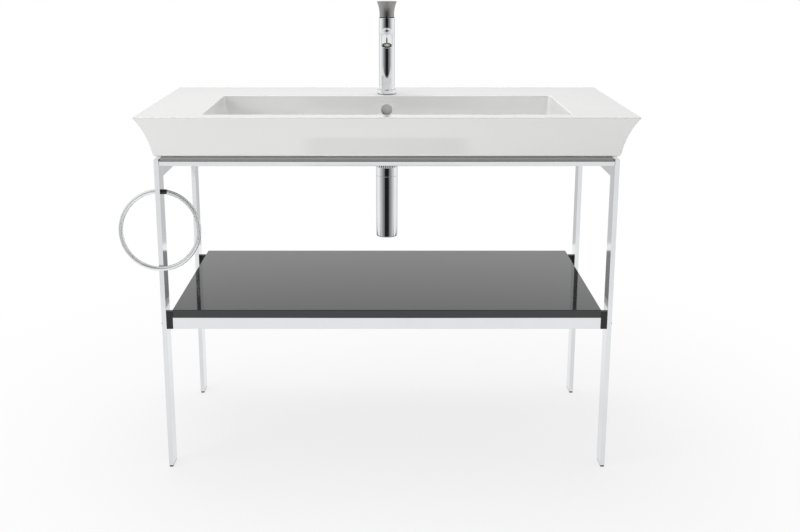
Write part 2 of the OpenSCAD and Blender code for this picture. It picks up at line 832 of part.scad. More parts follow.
module trap_bottle() color(chrome) {
    bore = trap_d - 2 * trap_wall;
    difference() {
        union() {
            at_drain(trap_z + bottle_edge) cylinder(d = trap_d, h = seam_z - trap_z - bottle_edge);
            at_drain(trap_z) cylinder(d1 = trap_d - 2 * bottle_edge, d2 = trap_d, h = bottle_edge);
            at_drain(seam_z - over) cylinder(d = neck_d, h = neck_h + over);
            at_drain(outlet_z) along_y() cylinder(d = stub_d, h = stub_y - drain_y);
        }
        at_drain(trap_z + bottle_floor)
            cylinder(d = bore, h = seam_z - bottle_shoulder - trap_z - bottle_floor);
        at_drain(trap_z + trap_d) cylinder(d = neck_bore_d, h = seam_z - trap_z);
        at_drain(outlet_z) along_y() cylinder(d = tube_d - 2 * tube_wall, h = trap_d);
        translate([0, tube_y, outlet_z]) along_y() cylinder(d = tube_d + 2 * thread_gap, h = trap_d);
    }
}

module outlet_seal() color(black) {
    translate([0, stub_y, outlet_z]) along_y() tube(stub_d, tube_d, tube_seal_t);
}

module outlet_nut() color(chrome) {
    translate([0, stub_y + tube_seal_t + outlet_lip - outlet_nut_l, outlet_z]) along_y() difference() {
        cylinder(d = outlet_nut_d, h = outlet_nut_l);
        hole(tube_d + 2 * pass_gap, outlet_nut_l);
        translate([0, 0, -over])
            cylinder(d = stub_d + 2 * thread_gap, h = outlet_nut_l - outlet_lip + over);
    }
}

module outlet_pipe() color(chrome) {
    translate([0, tube_y, outlet_z]) along_y() tube(tube_d, tube_d - 2 * tube_wall, back_y - tube_y);
}

module wall_rosette() color(chrome) {
    translate([0, back_y - rosette_t, outlet_z]) along_y() difference() {
        cylinder(d1 = tube_d + rosette_t, d2 = rosette_d, h = rosette_t - rosette_edge);
        hole(tube_d + 2 * pass_gap, rosette_t);
    }
    translate([0, back_y - rosette_edge, outlet_z]) along_y()
        tube(rosette_d, tube_d + 2 * pass_gap, rosette_edge);
}

// Console

// A leg at a corner, with the bore for its frame screw; side is -1 on the left and 1 on the right
module leg(side, y, screw_y) {
    difference() {
        translate([side * leg_x, y, foot_t]) bar(bar_t, bar_w, leg_h - foot_t);
        frame_screw_place(side, screw_y)
            screw_hole(frame_screw_d, frame_head_d, frame_head_h, bar_t + over);
    }
}

// Where a frame screw starts, on the outer face of a leg, pointing inwards
module frame_screw_place(side, y) {
    translate([side * console_w / 2, y, frame_screw_z]) rotate([0, -side * 90, 0]) children();
}

module leg_front_left() color(chrome) {
    difference() {
        leg(-1, leg_ys[0], frame_ys[0]);
        translate([-console_w / 2, pivot_y, pivot_z]) along_x() hole(bush_d, bar_t);
    }
}
module leg_front_right() color(chrome) leg(1, leg_ys[0], frame_ys[0]);
module leg_rear_left() color(chrome) leg(-1, leg_ys[1], frame_ys[1]);
module leg_rear_right() color(chrome) leg(1, leg_ys[1], frame_ys[1]);

module cross_rail(y) {
    translate([-inner_w / 2, y, rail_z - bar_t / 2]) along_x() bar(bar_w, bar_t, inner_w);
}

// The front rail is cut back where the bowl hangs behind it
module rail_front() color(chrome) {
    cut_w = bowl_w + 2 * shell_t;
    difference() {
        cross_rail(leg_ys[0]);
        translate([-cut_w / 2, neck_y, rail_z - bar_t - over])
            cube([cut_w, bar_w, bar_t + 2 * over]);
    }
}
module rail_rear() color(chrome) cross_rail(leg_ys[1]);

module side_rail(side) {
    translate([side * leg_x, leg_front_y + bar_w, rail_z - bar_w / 2])
        along_y() bar(bar_t, bar_w, console_d - 2 * bar_w);
}
module rail_left() color(chrome) side_rail(-1);
module rail_right() color(chrome) side_rail(1);

module foot_pads() color(black) {
    for (x = [-leg_x, leg_x], y = leg_ys)
        translate([x, y, 0]) bar(bar_t - 2 * foot_in, bar_w - 2 * foot_in, foot_t);
}

// Shelf

module shelf_board() color("darkslategray") {
    difference() {
        translate([-board_w / 2, leg_front_y, board_z]) cube([board_w, board_d, board_t]);
        for (x = board_screw_xs, y = frame_ys) translate([x, y, board_z])
            translate([0, 0, -over])
                cylinder(d = board_screw_d + 2 * thread_gap, h = board_screw_bite + thread_gap + over);
    }
}

// A rail across the shelf's frame, threaded at its ends and drilled for the board's screws
module frame_cross_rail(y) {
    difference() {
        translate([-board_w / 2, y, frame_z + frame_h / 2]) along_x() bar(frame_t, frame_h, board_w);
        for (x = board_screw_xs) translate([x, y, frame_z])
            screw_hole(board_screw_d, board_head_d, board_head_h, frame_h + over);
        for (side = [-1, 1]) translate([side * board_w / 2, y, frame_screw_z]) rotate([0, -side * 90, 0])
            translate([0, 0, -over])
                cylinder(d = frame_screw_d + 2 * thread_gap, h = frame_screw_bite + 2 * over);
    }
}
module shelf_rail_front() color(chrome) frame_cross_rail(frame_ys[0]);
module shelf_rail_rear() color(chrome) frame_cross_rail(frame_ys[1]);

module frame_side_rail(side) {
    translate([side * (board_w - frame_t) / 2, leg_front_y + frame_t, frame_z + frame_h / 2])
        along_y() bar(frame_t, frame_h, console_d - 2 * frame_t);
}
module shelf_rail_left() color(chrome) frame_side_rail(-1);
module shelf_rail_right() color(chrome) frame_side_rail(1);

module shelf_spacers() color(black) {
    for (side = [-1, 1], i = [0, 1])
        difference() {
            translate([side * (board_w + spacer_w) / 2, spacer_ys[i], spacer_z])
                bar(spacer_w, spacer_d, spacer_h);
            frame_screw_place(side, frame_ys[i]) hole(frame_screw_d + 2 * thread_gap, bar_t + spacer_w);
        }
}

module frame_screws() color(chrome) {
    for (side = [-1, 1], y = frame_ys) frame_screw_place(side, y)
        screw(frame_screw_d, frame_head_d, frame_head_h, bar_t + spacer_w + frame_screw_bite);
}

module board_screws() color(chrome) {
    for (x = board_screw_xs, y = frame_ys) translate([x, y, frame_z])
        screw(board_screw_d, board_head_d, board_head_h, frame_h + board_screw_bite);
}

// Towel ring

// The ring's own frame: its pivot at the origin, hanging in the XZ plane, then leaned on the leg
module at_pivot() {
    translate([-leg_x, pivot_y, pivot_z]) rotate([-ring_lean, 0, 0]) children();
}

module towel_ring() color(chrome) {
    at_pivot() difference() {
        translate([0, 0, -ring_drop]) rotate([90, 0, 0])
            rotate_extrude() translate([ring_r, 0]) circle(d = rod_d);
        translate([neck_from, -rod_d, -rod_d]) cube([neck_to - neck_from, 2 * rod_d, 2 * rod_d]);
        pin_shape();
    }
}

module pin_shape() {
    translate([neck_from - pin_bite, 0, 0]) along_x()
        cylinder(d = pin_d, h = neck_to - neck_from + 2 * pin_bite);
}

module ring_pin() color(chrome) { at_pivot() pin_shape(); }

module ring_bush() color(black) {
    translate([-leg_x - bar_t / 2, pivot_y, pivot_z]) along_x() tube(bush_d, bush_bore_d, bar_t + bush_out);
}

basin();
basin_pads();
tap_base_ring();
tap_base_seal();
tap_column();
tap_spout();
spout_collar();
aerator_housing();
aerator_insert();
cartridge_housing();
cartridge_nut();
mixing_core();
lever_stem();
handle();
handle_screw();
tap_shank();
tap_rubber_washer();
tap_steel_washer();
tap_nut();
waste_body();
waste_top_seal();
waste_bottom_seal();
waste_backnut();
click_unit();
plug_cover();
plug_seal();
trap_head();
trap_head_seal();
trap_dip_tube();
trap_neck_seal();
trap_bottle();
outlet_nut();
outlet_seal();
outlet_pipe();
wall_rosette();
front_strip();
leg_front_left();
leg_front_right();
leg_rear_left();
leg_rear_right();
rail_front();
rail_rear();
rail_left();
rail_right();
foot_pads();
shelf_board();
shelf_rail_front();
shelf_rail_rear();
shelf_rail_left();
shelf_rail_right();
shelf_spacers();
frame_screws();
board_screws();
towel_ring();
ring_pin();
ring_bush();
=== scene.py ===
# %% [markdown]
# # A vanity basin on a slim metal console
# The real object is a white vitreous china basin with a flared rim. It lies on a console of flat steel bars
# that also carries a lacquered shelf and a towel ring, and it has a single-lever tap and a bottle trap,
# both chrome plated. This script puts a finished surface over the parts that show, gives the hidden ones a
# plain but honest material, and never moves a CAD part.

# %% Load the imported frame
import math

import bmesh
import bpy
from mathutils import Matrix, Vector


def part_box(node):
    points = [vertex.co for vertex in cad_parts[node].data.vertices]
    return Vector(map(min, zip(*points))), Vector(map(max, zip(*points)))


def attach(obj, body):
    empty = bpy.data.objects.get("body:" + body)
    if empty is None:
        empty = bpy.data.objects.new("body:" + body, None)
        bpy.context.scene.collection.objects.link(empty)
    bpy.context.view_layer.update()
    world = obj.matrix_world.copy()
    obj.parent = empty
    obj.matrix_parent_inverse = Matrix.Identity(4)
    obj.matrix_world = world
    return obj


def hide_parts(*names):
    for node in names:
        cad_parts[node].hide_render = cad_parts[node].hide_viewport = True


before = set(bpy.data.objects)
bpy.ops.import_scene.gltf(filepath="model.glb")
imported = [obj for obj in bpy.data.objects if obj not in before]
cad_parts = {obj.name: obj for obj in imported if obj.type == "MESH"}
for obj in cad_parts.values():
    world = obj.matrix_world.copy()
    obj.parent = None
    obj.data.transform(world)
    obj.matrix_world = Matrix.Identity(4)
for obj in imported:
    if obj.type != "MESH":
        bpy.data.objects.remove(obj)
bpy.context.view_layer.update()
MM = 0.001
TINY = 1e-6

# %% [markdown]
# ## The view
# The photograph was taken level, from a little above the rim, with the lens shifted down. Here most of that
# shift is turned into a small tilt, and the eye point is moved a little to make up for it. Other views keep
# the camera's shift, and a large one would push the object out of them. The lens is in millimetres, the
# tilt in degrees, and the shifts are shares of the picture's width.

# %% Camera
EYE = (0.0007, -2.2973, 1.1266)
LENS, TILT, SHIFT_X, SHIFT_Y = 45.3, 12.563, 0.0161, -0.1065

camera_data = bpy.data.cameras.new("camera")
camera_data.lens, camera_data.sensor_width = LENS, 36
camera_data.shift_x, camera_data.shift_y = SHIFT_X, SHIFT_Y
camera = bpy.data.objects.new("camera", camera_data)
camera.location = EYE
camera.rotation_euler = (math.radians(90 - TILT), 0, 0)
bpy.context.collection.objects.link(camera)
bpy.context.scene.camera = camera
bpy.context.scene.view_settings.view_transform = "Standard"
print("camera at", EYE, "tilted", TILT)

# %% [markdown]
# ## A small tool for node trees
# Both materials and Geometry Nodes are trees of nodes. One function adds a node, sets its options and
# either links or fills in its sockets, so that each tree below reads as a short recipe. Colours are written
# as the sRGB hex values that a designer would name, and one function turns them into the linear values that
# the renderer works in.

# %% Node and colour helpers
def add(tree, kind, inputs=None, into=None, **settings):
    """Adds a node. inputs maps a socket's name or number to a value, or to another node's output. The first
    output in use goes into a socket, if one is given."""
    node = tree.nodes.new(kind)
    for key, value in settings.items():
        setattr(node, key, value)
    for key, value in (inputs or {}).items():
        if isinstance(value, bpy.types.NodeSocket):
            tree.links.new(value, node.inputs[key])
        else:
            node.inputs[key].default_value = value
    if into:
        tree.links.new([s for s in node.outputs if s.enabled][0], into)
    return node


def linear(code):
    """sRGB hex, such as "e8ebed", as a linear RGBA colour."""
    parts = [int(code[i:i + 2], 16) / 255 for i in (0, 2, 4)]
    return (*[c / 12.92 if c <= 0.04045 else ((c + 0.055) / 1.055) ** 2.4 for c in parts], 1.0)


# %% [markdown]
# ## Finishes
# Every finish starts from the Principled shader with typical values for the material, which are then
# matched to the object. Patterns read Object coordinates, and their scale is worked out from a size in
# millimetres. A texture's scale counts features per metre here, because all objects are in metres.

# %% The shared start of a finish
def finish(name, colour, metallic=0.0, roughness=0.5, **sockets):
    """A new material with its tree, shader and object coordinates."""
    material = bpy.data.materials.new(name)
    material.use_nodes = True
    tree = material.node_tree
    shader = tree.nodes["Principled BSDF"]
    values = {"Base Color": linear(colour), "Metallic": metallic, "Roughness": roughness, **sockets}
    for key, value in values.items():
        shader.inputs[key].default_value = value
    where = add(tree, "ShaderNodeTexCoord").outputs["Object"]
    return material, tree, shader, where


def spots_of(size_mm, where, detail=2.0):
    """The inputs that give a noise spots of about size_mm."""
    return {"Vector": where, "Scale": 1 / (size_mm * MM), "Detail": detail}


def depth_of(depth_mm, height, strength):
    """The inputs that give a bump its real depth in mm, from a height that runs from 0 to 1."""
    return {"Height": height, "Distance": depth_mm * MM, "Strength": strength}


def colours(fac, low, high):
    """The inputs of a mix between two hex colours. Its sockets for colours have the numbers 6 and 7."""
    return {0: fac, 6: linear(low), 7: linear(high)}


def numbers(fac, low, high):
    """The inputs of a mix between two numbers, whose sockets have the numbers 2 and 3."""
    return {0: fac, 2: low, 3: high}


# %% [markdown]
# ### Glazed vitreous china
# The basin is slip-cast clay with a fired glass glaze. The glaze gives a clear, hard shine over a slightly
# cool white, and it never dries quite flat: it has long shallow waves of about 40 mm, and a fine ripple of
# about 3 mm.

# %% Glazed vitreous china
china, tree, shader, where = finish("glazed vitreous china", "efefee", roughness=0.09, **{
    "Coat Weight": 0.5, "Coat Roughness": 0.03})
swell = add(tree, "ShaderNodeTexNoise", spots_of(40, where)).outputs["Fac"]
ripple = add(tree, "ShaderNodeTexNoise", spots_of(3, where, 3)).outputs["Fac"]
waves = add(tree, "ShaderNodeBump", depth_of(0.05, swell, 0.35)).outputs[0]
add(tree, "ShaderNodeBump", {**depth_of(0.004, ripple, 0.35), "Normal": waves}, shader.inputs["Normal"])
clouds = add(tree, "ShaderNodeTexNoise", spots_of(120, where, 3)).outputs["Fac"]
add(tree, "ShaderNodeMix", colours(clouds, "ededec", "f2f2f1"), shader.inputs["Base Color"], data_type="RGBA")
patches = add(tree, "ShaderNodeTexNoise", spots_of(60, where, 4)).outputs["Fac"]
add(tree, "ShaderNodeMix", numbers(patches, 0.07, 0.12), shader.inputs["Roughness"])

# %% [markdown]
# ### Bright chrome plate
# The tap and the trap are polished brass with a chrome plate: a mirror with a faintly blue tint. Polishing
# leaves very slight waves, and handling leaves patches that are a touch less sharp.

# %% Bright chrome plate
chrome, tree, shader, where = finish("bright chrome plate", "e7e9eb", metallic=1.0, roughness=0.035)
swell = add(tree, "ShaderNodeTexNoise", spots_of(9, where)).outputs["Fac"]
add(tree, "ShaderNodeBump", depth_of(0.002, swell, 0.25), shader.inputs["Normal"])
patches = add(tree, "ShaderNodeTexNoise", spots_of(14, where, 4)).outputs["Fac"]
add(tree, "ShaderNodeMix", numbers(patches, 0.02, 0.06), shader.inputs["Roughness"])
clouds = add(tree, "ShaderNodeTexNoise", spots_of(25, where, 3)).outputs["Fac"]
add(tree, "ShaderNodeMix", colours(clouds, "e3e5e8", "ebedee"), shader.inputs["Base Color"], data_type="RGBA")

# %% [markdown]
# ### Satin nickel plate
# The handle is turned and then satin plated, so that fingers don't slip. The lathe leaves fine rings round
# its axis. Their real pitch is near 0.1 mm; they are drawn at 0.5 mm, because finer ones can't show at this
# size. A wave texture at scale 1 has one band in about 0.31 units, so that length is divided by the pitch.

# %% Satin nickel plate
LATHE_PITCH, WAVE_BAND = 0.5, 0.31
nickel, tree, shader, where = finish("satin nickel plate", "9b9a99", metallic=1.0, roughness=0.34)
rings = add(tree, "ShaderNodeTexWave", bands_direction="Z", inputs={
    "Vector": where, "Scale": WAVE_BAND / (LATHE_PITCH * MM), "Distortion": 0.4}).outputs["Fac"]
add(tree, "ShaderNodeBump", depth_of(0.006, rings, 0.5), shader.inputs["Normal"])
patches = add(tree, "ShaderNodeTexNoise", spots_of(5, where, 4)).outputs["Fac"]
add(tree, "ShaderNodeMix", numbers(patches, 0.29, 0.40), shader.inputs["Roughness"])

# %% [markdown]
# ### Satin chromed steel bar
# The console's flat bars are drawn steel, ground lengthwise and plated. The grinding leaves long scratches
# that blur the mirror into a soft sheen. They are drawn 0.8 mm wide and ninety times as long. The bars run
# three ways, so there is one material for each way, with its scratches stretched along that axis.

# %% Satin chromed steel bar, one for each direction
SCRATCH_STRETCH = 90
steel_along = []
for axis in "xyz":
    steel, tree, shader, where = finish("satin chromed steel, grain along " + axis, "e2e4e5",
                                        metallic=1.0, roughness=0.1)
    squeeze = [1 / SCRATCH_STRETCH if a == axis else 1 for a in "xyz"]
    along_bar = add(tree, "ShaderNodeMapping", {"Vector": where, "Scale": squeeze}).outputs[0]
    grain = add(tree, "ShaderNodeTexNoise", spots_of(0.8, along_bar, 3)).outputs["Fac"]
    add(tree, "ShaderNodeBump", depth_of(0.003, grain, 0.35), shader.inputs["Normal"])
    add(tree, "ShaderNodeMix", numbers(grain, 0.07, 0.13), shader.inputs["Roughness"])
    clouds = add(tree, "ShaderNodeTexNoise", spots_of(60, where, 3)).outputs["Fac"]
    add(tree, "ShaderNodeMix", colours(clouds, "dddfe1", "e6e8e9"), shader.inputs["Base Color"],
        data_type="RGBA")
    steel_along.append(steel)

# %% [markdown]
# ### Satin chromed ring rod
# The towel ring is round rod, blasted with fine beads before it is plated. The plate follows the tiny
# dents, so the room is smeared into one even light grey. The dents are near 0.1 mm; they are drawn at 0.8
# mm to show at all.

# %% Satin chromed ring rod
ring_steel, tree, shader, where = finish("bead-blasted chrome rod", "f2f3f4", metallic=1.0, roughness=0.38)
dents = add(tree, "ShaderNodeTexNoise", spots_of(0.8, where, 3)).outputs["Fac"]
add(tree, "ShaderNodeBump", depth_of(0.004, dents, 0.3), shader.inputs["Normal"])
patches = add(tree, "ShaderNodeTexNoise", spots_of(10, where, 3)).outputs["Fac"]
add(tree, "ShaderNodeMix", numbers(patches, 0.34, 0.42), shader.inputs["Roughness"])

# %% [markdown]
# ### Graphite high-gloss lacquer
# The shelf is board under several sprayed and polished coats. The colour lies under a clear coat, which has
# the shallow "orange peel" of a sprayed film, about 4 mm from crest to crest.

# %% Graphite high-gloss lacquer
lacquer, tree, shader, where = finish("graphite high-gloss lacquer", "262729", roughness=0.06, **{
    "Coat Weight": 0.2, "Coat Roughness": 0.02})
peel = add(tree, "ShaderNodeTexNoise", spots_of(4, where, 2)).outputs["Fac"]
add(tree, "ShaderNodeBump", depth_of(0.004, peel, 0.25), shader.inputs["Normal"])
clouds = add(tree, "ShaderNodeTexNoise", spots_of(200, where, 3)).outputs["Fac"]
add(tree, "ShaderNodeMix", colours(clouds, "232426", "292a2c"), shader.inputs["Base Color"], data_type="RGBA")
patches = add(tree, "ShaderNodeTexNoise", spots_of(30, where, 4)).outputs["Fac"]
add(tree, "ShaderNodeMix", numbers(patches, 0.04, 0.09), shader.inputs["Roughness"])

# %% [markdown]
# ### Small parts
# Moulded nylon and rubber are dark and dull with a fine spark-eroded grain. The pads under the basin are
# silicone rubber. The strip under the basin is silicone too, and its grey stands in for the shade in the gap
# between the front rail and the basin, so that grey is partly painted shade. Turned brass, stainless
# screws and white acetal are only seen from below or when something moves, but each still has its own
# surface.

# %% Plastics, rubbers, brass and stainless steel
def moulded(name, low, high, roughness, grain_mm, depth_mm, **sockets):
    """A moulded finish between two hex colours, with a grain of a real size and depth."""
    material, tree, shader, where = finish(name, low, roughness=roughness, **sockets)
    grain = add(tree, "ShaderNodeTexNoise", spots_of(grain_mm, where, 4)).outputs["Fac"]
    add(tree, "ShaderNodeBump", depth_of(depth_mm, grain, 0.6), shader.inputs["Normal"])
    clouds = add(tree, "ShaderNodeTexNoise", spots_of(6, where, 3)).outputs["Fac"]
    add(tree, "ShaderNodeMix", colours(clouds, low, high), shader.inputs["Base Color"], data_type="RGBA")
    return material


def turned(name, low, high, roughness):
    """A machined metal between two hex colours, with marks that run round the Z axis."""
    material, tree, shader, where = finish(name, low, metallic=1.0, roughness=roughness)
    round_axis = add(tree, "ShaderNodeMapping", {"Vector": where, "Scale": (1 / 6, 1 / 6, 1)}).outputs[0]
    marks = add(tree, "ShaderNodeTexNoise", spots_of(0.6, round_axis, 3)).outputs["Fac"]
    add(tree, "ShaderNodeBump", depth_of(0.004, marks, 0.4), shader.inputs["Normal"])
    clouds = add(tree, "ShaderNodeTexNoise", spots_of(8, where, 3)).outputs["Fac"]
    add(tree, "ShaderNodeMix", colours(clouds, low, high), shader.inputs["Base Color"], data_type="RGBA")
    return material


nylon = moulded("black moulded nylon", "0f1011", "17181a", 0.36, 0.5, 0.008)
rubber = moulded("black moulded rubber", "1b1b1c", "262627", 0.7, 0.8, 0.02)
# This grey is set for the strip under the basin, where it stands in for the shade in the gap: painted shade.
# The pads share it.
silicone_and_gap_shade = moulded("grey silicone rubber", "959796", "a1a3a2", 0.5, 1.2, 0.01)
acetal = moulded("white acetal", "dcdcd8", "e4e4e0", 0.38, 0.6, 0.008)
brass = turned("turned brass", "b08a4a", "c19a57", 0.28)
stainless = turned("stainless steel", "b3b3b1", "c0c0be", 0.26)
print("finishes", len(bpy.data.materials))

# %% [markdown]
# ## Making and finishing a piece
# Most of the object is made of rows of points joined by quads: a turned part is a stack of circles, the
# basin is a chain of rounded rectangles. One function joins such rows.

# %% Joining rows of points
def loft(rows, closed=False):
    """A mesh from rows of points in mm. closed joins the last row to the first. One point makes a pole."""
    bm = bmesh.new()
    made = [[bm.verts.new(Vector(p) * MM) for p in row] for row in rows]
    pairs = list(zip(made, made[1:] + made[:1] if closed else made[1:]))
    for a, b in pairs:
        n = max(len(a), len(b))
        for i in range(n if n > 1 else 0):
            j = (i + 1) % n
            corners = [a[i % len(a)], a[j % len(a)], b[j % len(b)], b[i % len(b)]]
            bm.faces.new(list(dict.fromkeys(corners)))
    bmesh.ops.recalc_face_normals(bm, faces=bm.faces)
    mesh = bpy.data.meshes.new("loft")
    bm.to_mesh(mesh)
    bm.free()
    return mesh


def end_faces(obj):
    """Closes the open ends of an extruded shape."""
    bm = bmesh.new()
    bm.from_mesh(obj.data)
    bmesh.ops.holes_fill(bm, edges=[e for e in bm.edges if e.is_boundary], sides=0)
    bmesh.ops.recalc_face_normals(bm, faces=bm.faces)
    bm.to_mesh(obj.data)
    bm.free()


def box_mesh(low, high):
    """A closed box between two corners in mm."""
    bm = bmesh.new()
    bmesh.ops.create_cube(bm, size=1)
    for v in bm.verts:
        v.co = Vector([(l + h) / 2 + c * (h - l) for l, h, c in zip(low, high, v.co)]) * MM
    mesh = bpy.data.meshes.new("box")
    bm.to_mesh(mesh)
    bm.free()
    return mesh


def baked(obj):
    """Turns an object with modifiers into a plain mesh object."""
    evaluated = obj.evaluated_get(bpy.context.evaluated_depsgraph_get())
    mesh = bpy.data.meshes.new_from_object(evaluated)
    obj.modifiers.clear()
    obj.data = mesh
    return obj


def cut(obj, tools, operation="DIFFERENCE"):
    """Cuts meshes out of an object, or joins them to it, and removes the helpers."""
    for tool in tools:
        helper = bpy.data.objects.new("helper", tool)
        bpy.context.collection.objects.link(helper)
        modifier = obj.modifiers.new("cut", "BOOLEAN")
        modifier.object, modifier.operation, modifier.solver = helper, operation, "EXACT"
        bpy.context.view_layer.update()
        baked(obj)
        bpy.data.objects.remove(helper)
    return obj


def thing(name, mesh):
    """A new object from a mesh, in the scene."""
    obj = bpy.data.objects.new(name, mesh)
    bpy.context.collection.objects.link(obj)
    return obj


def piece(obj, material, stands_for=(), body="root", bevel=0, sharp=38):
    """Finishes an object as a piece of the model. bevel is the radius in mm of its broken edges."""
    obj.data.materials.clear()
    obj.data.materials.append(material)
    if bevel:
        modifier = obj.modifiers.new("bevel", "BEVEL")
        modifier.width, modifier.segments, modifier.limit_method = bevel * MM, 3, "ANGLE"
        modifier.angle_limit = math.radians(30)
        baked(obj)
    obj.data.shade_smooth()
    obj.data.set_sharp_from_angle(angle=math.radians(sharp))
    modifier = obj.modifiers.new("normals", "WEIGHTED_NORMAL")
    modifier.keep_sharp = True
    baked(obj)
    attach(obj, body)
    if stands_for:
        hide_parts(*stands_for)
    size = [round(d / MM, 1) for d in obj.dimensions]
    print(f"{obj.name}: {len(obj.data.polygons)} faces, {size} mm, on {body}")
    return obj


def mm_box(node):
    """Low and high corners of a CAD part, in mm."""
    low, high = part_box(node)
    return low / MM, high / MM


# %% [markdown]
# ## Rounded profiles
# A drawn profile has corners, and a real part has small radii there, which catch the light. This function
# takes the corners of a profile with a radius for each, and returns points that run round those radii. An
# arc takes just under half of each side next to it, so that two arcs never meet.

# %% Rounding a profile
SIDE_SHARE = 0.49


def rounded(corners, steps=5, loop=False):
    """corners are (a, b, radius). Returns points (a, b) with an arc at each corner that has a radius."""
    out, n = [], len(corners)
    for i, (a, b, radius) in enumerate(corners):
        here = Vector((a, b))
        if radius <= 0 or (not loop and i in (0, n - 1)):
            out.append(here)
            continue
        to_last = Vector(corners[i - 1][:2]) - here
        to_next = Vector(corners[(i + 1) % n][:2]) - here
        half = to_last.angle(to_next) / 2
        reach = min(radius / math.tan(half), to_last.length * SIDE_SHARE, to_next.length * SIDE_SHARE)
        radius = reach * math.tan(half)
        centre = here + (to_last.normalized() + to_next.normalized()).normalized() * radius / math.sin(half)
        start, end = (here + v.normalized() * reach - centre for v in (to_last, to_next))
        turn = start.angle_signed(end)
        for k in range(steps + 1):
            angle = -turn * k / steps
            c, s = math.cos(angle), math.sin(angle)
            out.append(centre + Vector((start.x * c - start.y * s, start.x * s + start.y * c)))
    return out


def ring_of(radius, height, n):
    """A circle of n points at a height, or one point on the axis."""
    if radius < TINY:
        return [(0, 0, height)]
    return [(radius * math.cos(2 * math.pi * i / n), radius * math.sin(2 * math.pi * i / n), height)
            for i in range(n)]


# %% Turned parts and drills
LIE_ALONG = {"Z": Matrix(), "Y": Matrix.Rotation(math.radians(-90), 4, "X"),
             "X": Matrix.Rotation(math.radians(90), 4, "Y")}


def turned_mesh(profile, at, along="Z", n=96, closed=False):
    """A lathe: corners (radius, height, rounding) turned about an axis through at, all in mm."""
    rows = [ring_of(r, h, n) for r, h in rounded(profile, loop=closed)]
    place = Matrix.Translation(at) @ LIE_ALONG[along]
    return loft([[place @ Vector(p) for p in row] for row in rows], closed)


def drill(radius, start, end, at, along="Z", n=48):
    """A plain cylinder that cuts a hole from start to end along an axis through at, in mm."""
    return turned_mesh([(0, start, 0), (radius, start, 0), (radius, end, 0), (0, end, 0)], at, along, n)


def middle_of(node):
    """The middle of a CAD part seen from above, in mm."""
    low, high = mm_box(node)
    return Vector(((low + high) / 2)[:2])


# %% [markdown]
# ## The basin
# The basin is one casting: a flared outside, a flat rim, a rectangular bowl with a falling floor, a drain,
# and a hollow underside. It could be carved with booleans, but then its edges would stay knife sharp.
# Instead, one chain of rounded rectangles runs out over the rim, down the flare, round the foot, up inside,
# down round the bowl's underside, through the drain and back up the bowl. The chain closes on itself, so
# the skin has no open edge.

# %% The basin's sizes, from the CAD part and the drawing
basin_low, basin_high = mm_box("basin")
half_w, front_y, back_y, rim_z = basin_high.x, basin_low.y, basin_high.y, basin_high.z
SKIRT_H, DRAFT_A = 90, 7
bottom_z = rim_z - SKIRT_H
bowl_half_w, bowl_front_y, bowl_back_y = 389, -204, 92
bowl_depth, bowl_fall, draft, deck, wall = 96, 6, math.tan(math.radians(DRAFT_A)), 14, 12
drain, tap = middle_of("waste_body"), middle_of("tap_column")
drain_z = rim_z - bowl_depth - bowl_fall
print("rim", half_w * 2, "by", back_y - front_y, "mm at", rim_z, "mm; drain at", drain, "tap at", tap)

# %% Rounded rectangles and circles with the same number of points
SIDE, CORNER = 26, 7


def rectangle(x0, x1, y0, y1, z, r_front, r_back):
    """A rounded rectangle from the right of its front edge, counterclockwise seen from above."""
    points = []
    corners = [(x1 - r_front, y0 + r_front, r_front, -90), (x1 - r_back, y1 - r_back, r_back, 0),
               (x0 + r_back, y1 - r_back, r_back, 90), (x0 + r_front, y0 + r_front, r_front, 180)]
    for i, (cx, cy, r, start) in enumerate(corners):
        arc = [(cx + r * math.cos(math.radians(start + 90 * k / CORNER)),
                cy + r * math.sin(math.radians(start + 90 * k / CORNER))) for k in range(CORNER + 1)]
        nx, ny, nr, ns = corners[(i + 1) % 4]
        to = (nx + nr * math.cos(math.radians(ns)), ny + nr * math.sin(math.radians(ns)))
        side = [(arc[-1][0] + (to[0] - arc[-1][0]) * k / SIDE, arc[-1][1] + (to[1] - arc[-1][1]) * k / SIDE)
                for k in range(1, SIDE)]
        points += arc + side
    return [(x, y, z) for x, y in points]


def outside(inset, z, back=0.0, r=2.5):
    """A rectangle round the basin's outside, inset at the front and sides, and by back at the wall."""
    x = half_w - inset
    return rectangle(-x, x, front_y + inset, back_y - back, z, r, r)


def inside(inset, z, r):
    """A rectangle in the bowl's opening, inset all round."""
    x = bowl_half_w - inset
    return rectangle(-x, x, bowl_front_y + inset, bowl_back_y - inset, z, r, r)


def round_drain(radius, z):
    """A circle about the drain, with its points matched to a rectangle's by their share of each quarter."""
    n = SIDE + CORNER
    turns = [math.radians(-45 + 90 * (i / n - CORNER / 2 / n)) for i in range(4 * n)]
    return [(drain.x + radius * math.cos(a), drain.y + radius * math.sin(a), z) for a in turns]


def between(a, b, t, lift=0.0):
    """A row part of the way from row a to row b."""
    return [tuple(Vector(p).lerp(Vector(q), t) + Vector((0, 0, lift))) for p, q in zip(a, b)]


# %% [markdown]
# ### The flare
# In section the outside is a hollow arc that runs from the rim down to a small round foot. The arc's centre
# is found from its chord, and the foot's circle touches the arc, so that light runs over both without a
# kink. Depths are measured down from the rim.

# %% The flare's hollow arc and the round of the foot
FLARE_R, FLARE_INSET, EDGE, FOOT_R = 195, 31, 3, 9
chord = Vector((FLARE_INSET, SKIRT_H - EDGE))
flare_centre = Vector((0, EDGE)) + chord / 2 + Vector((-chord.y, chord.x)).normalized() * math.sqrt(
    FLARE_R ** 2 - chord.length_squared / 4)
foot_depth = SKIRT_H - FOOT_R
foot_run = math.sqrt((FLARE_R + FOOT_R) ** 2 - (foot_depth - flare_centre.y) ** 2)
foot = Vector((flare_centre.x + foot_run, foot_depth))
touch = flare_centre + (foot - flare_centre) * FLARE_R / (FLARE_R + FOOT_R)
print("the flare meets the foot's round at a depth of", round(touch.y, 1), "mm")


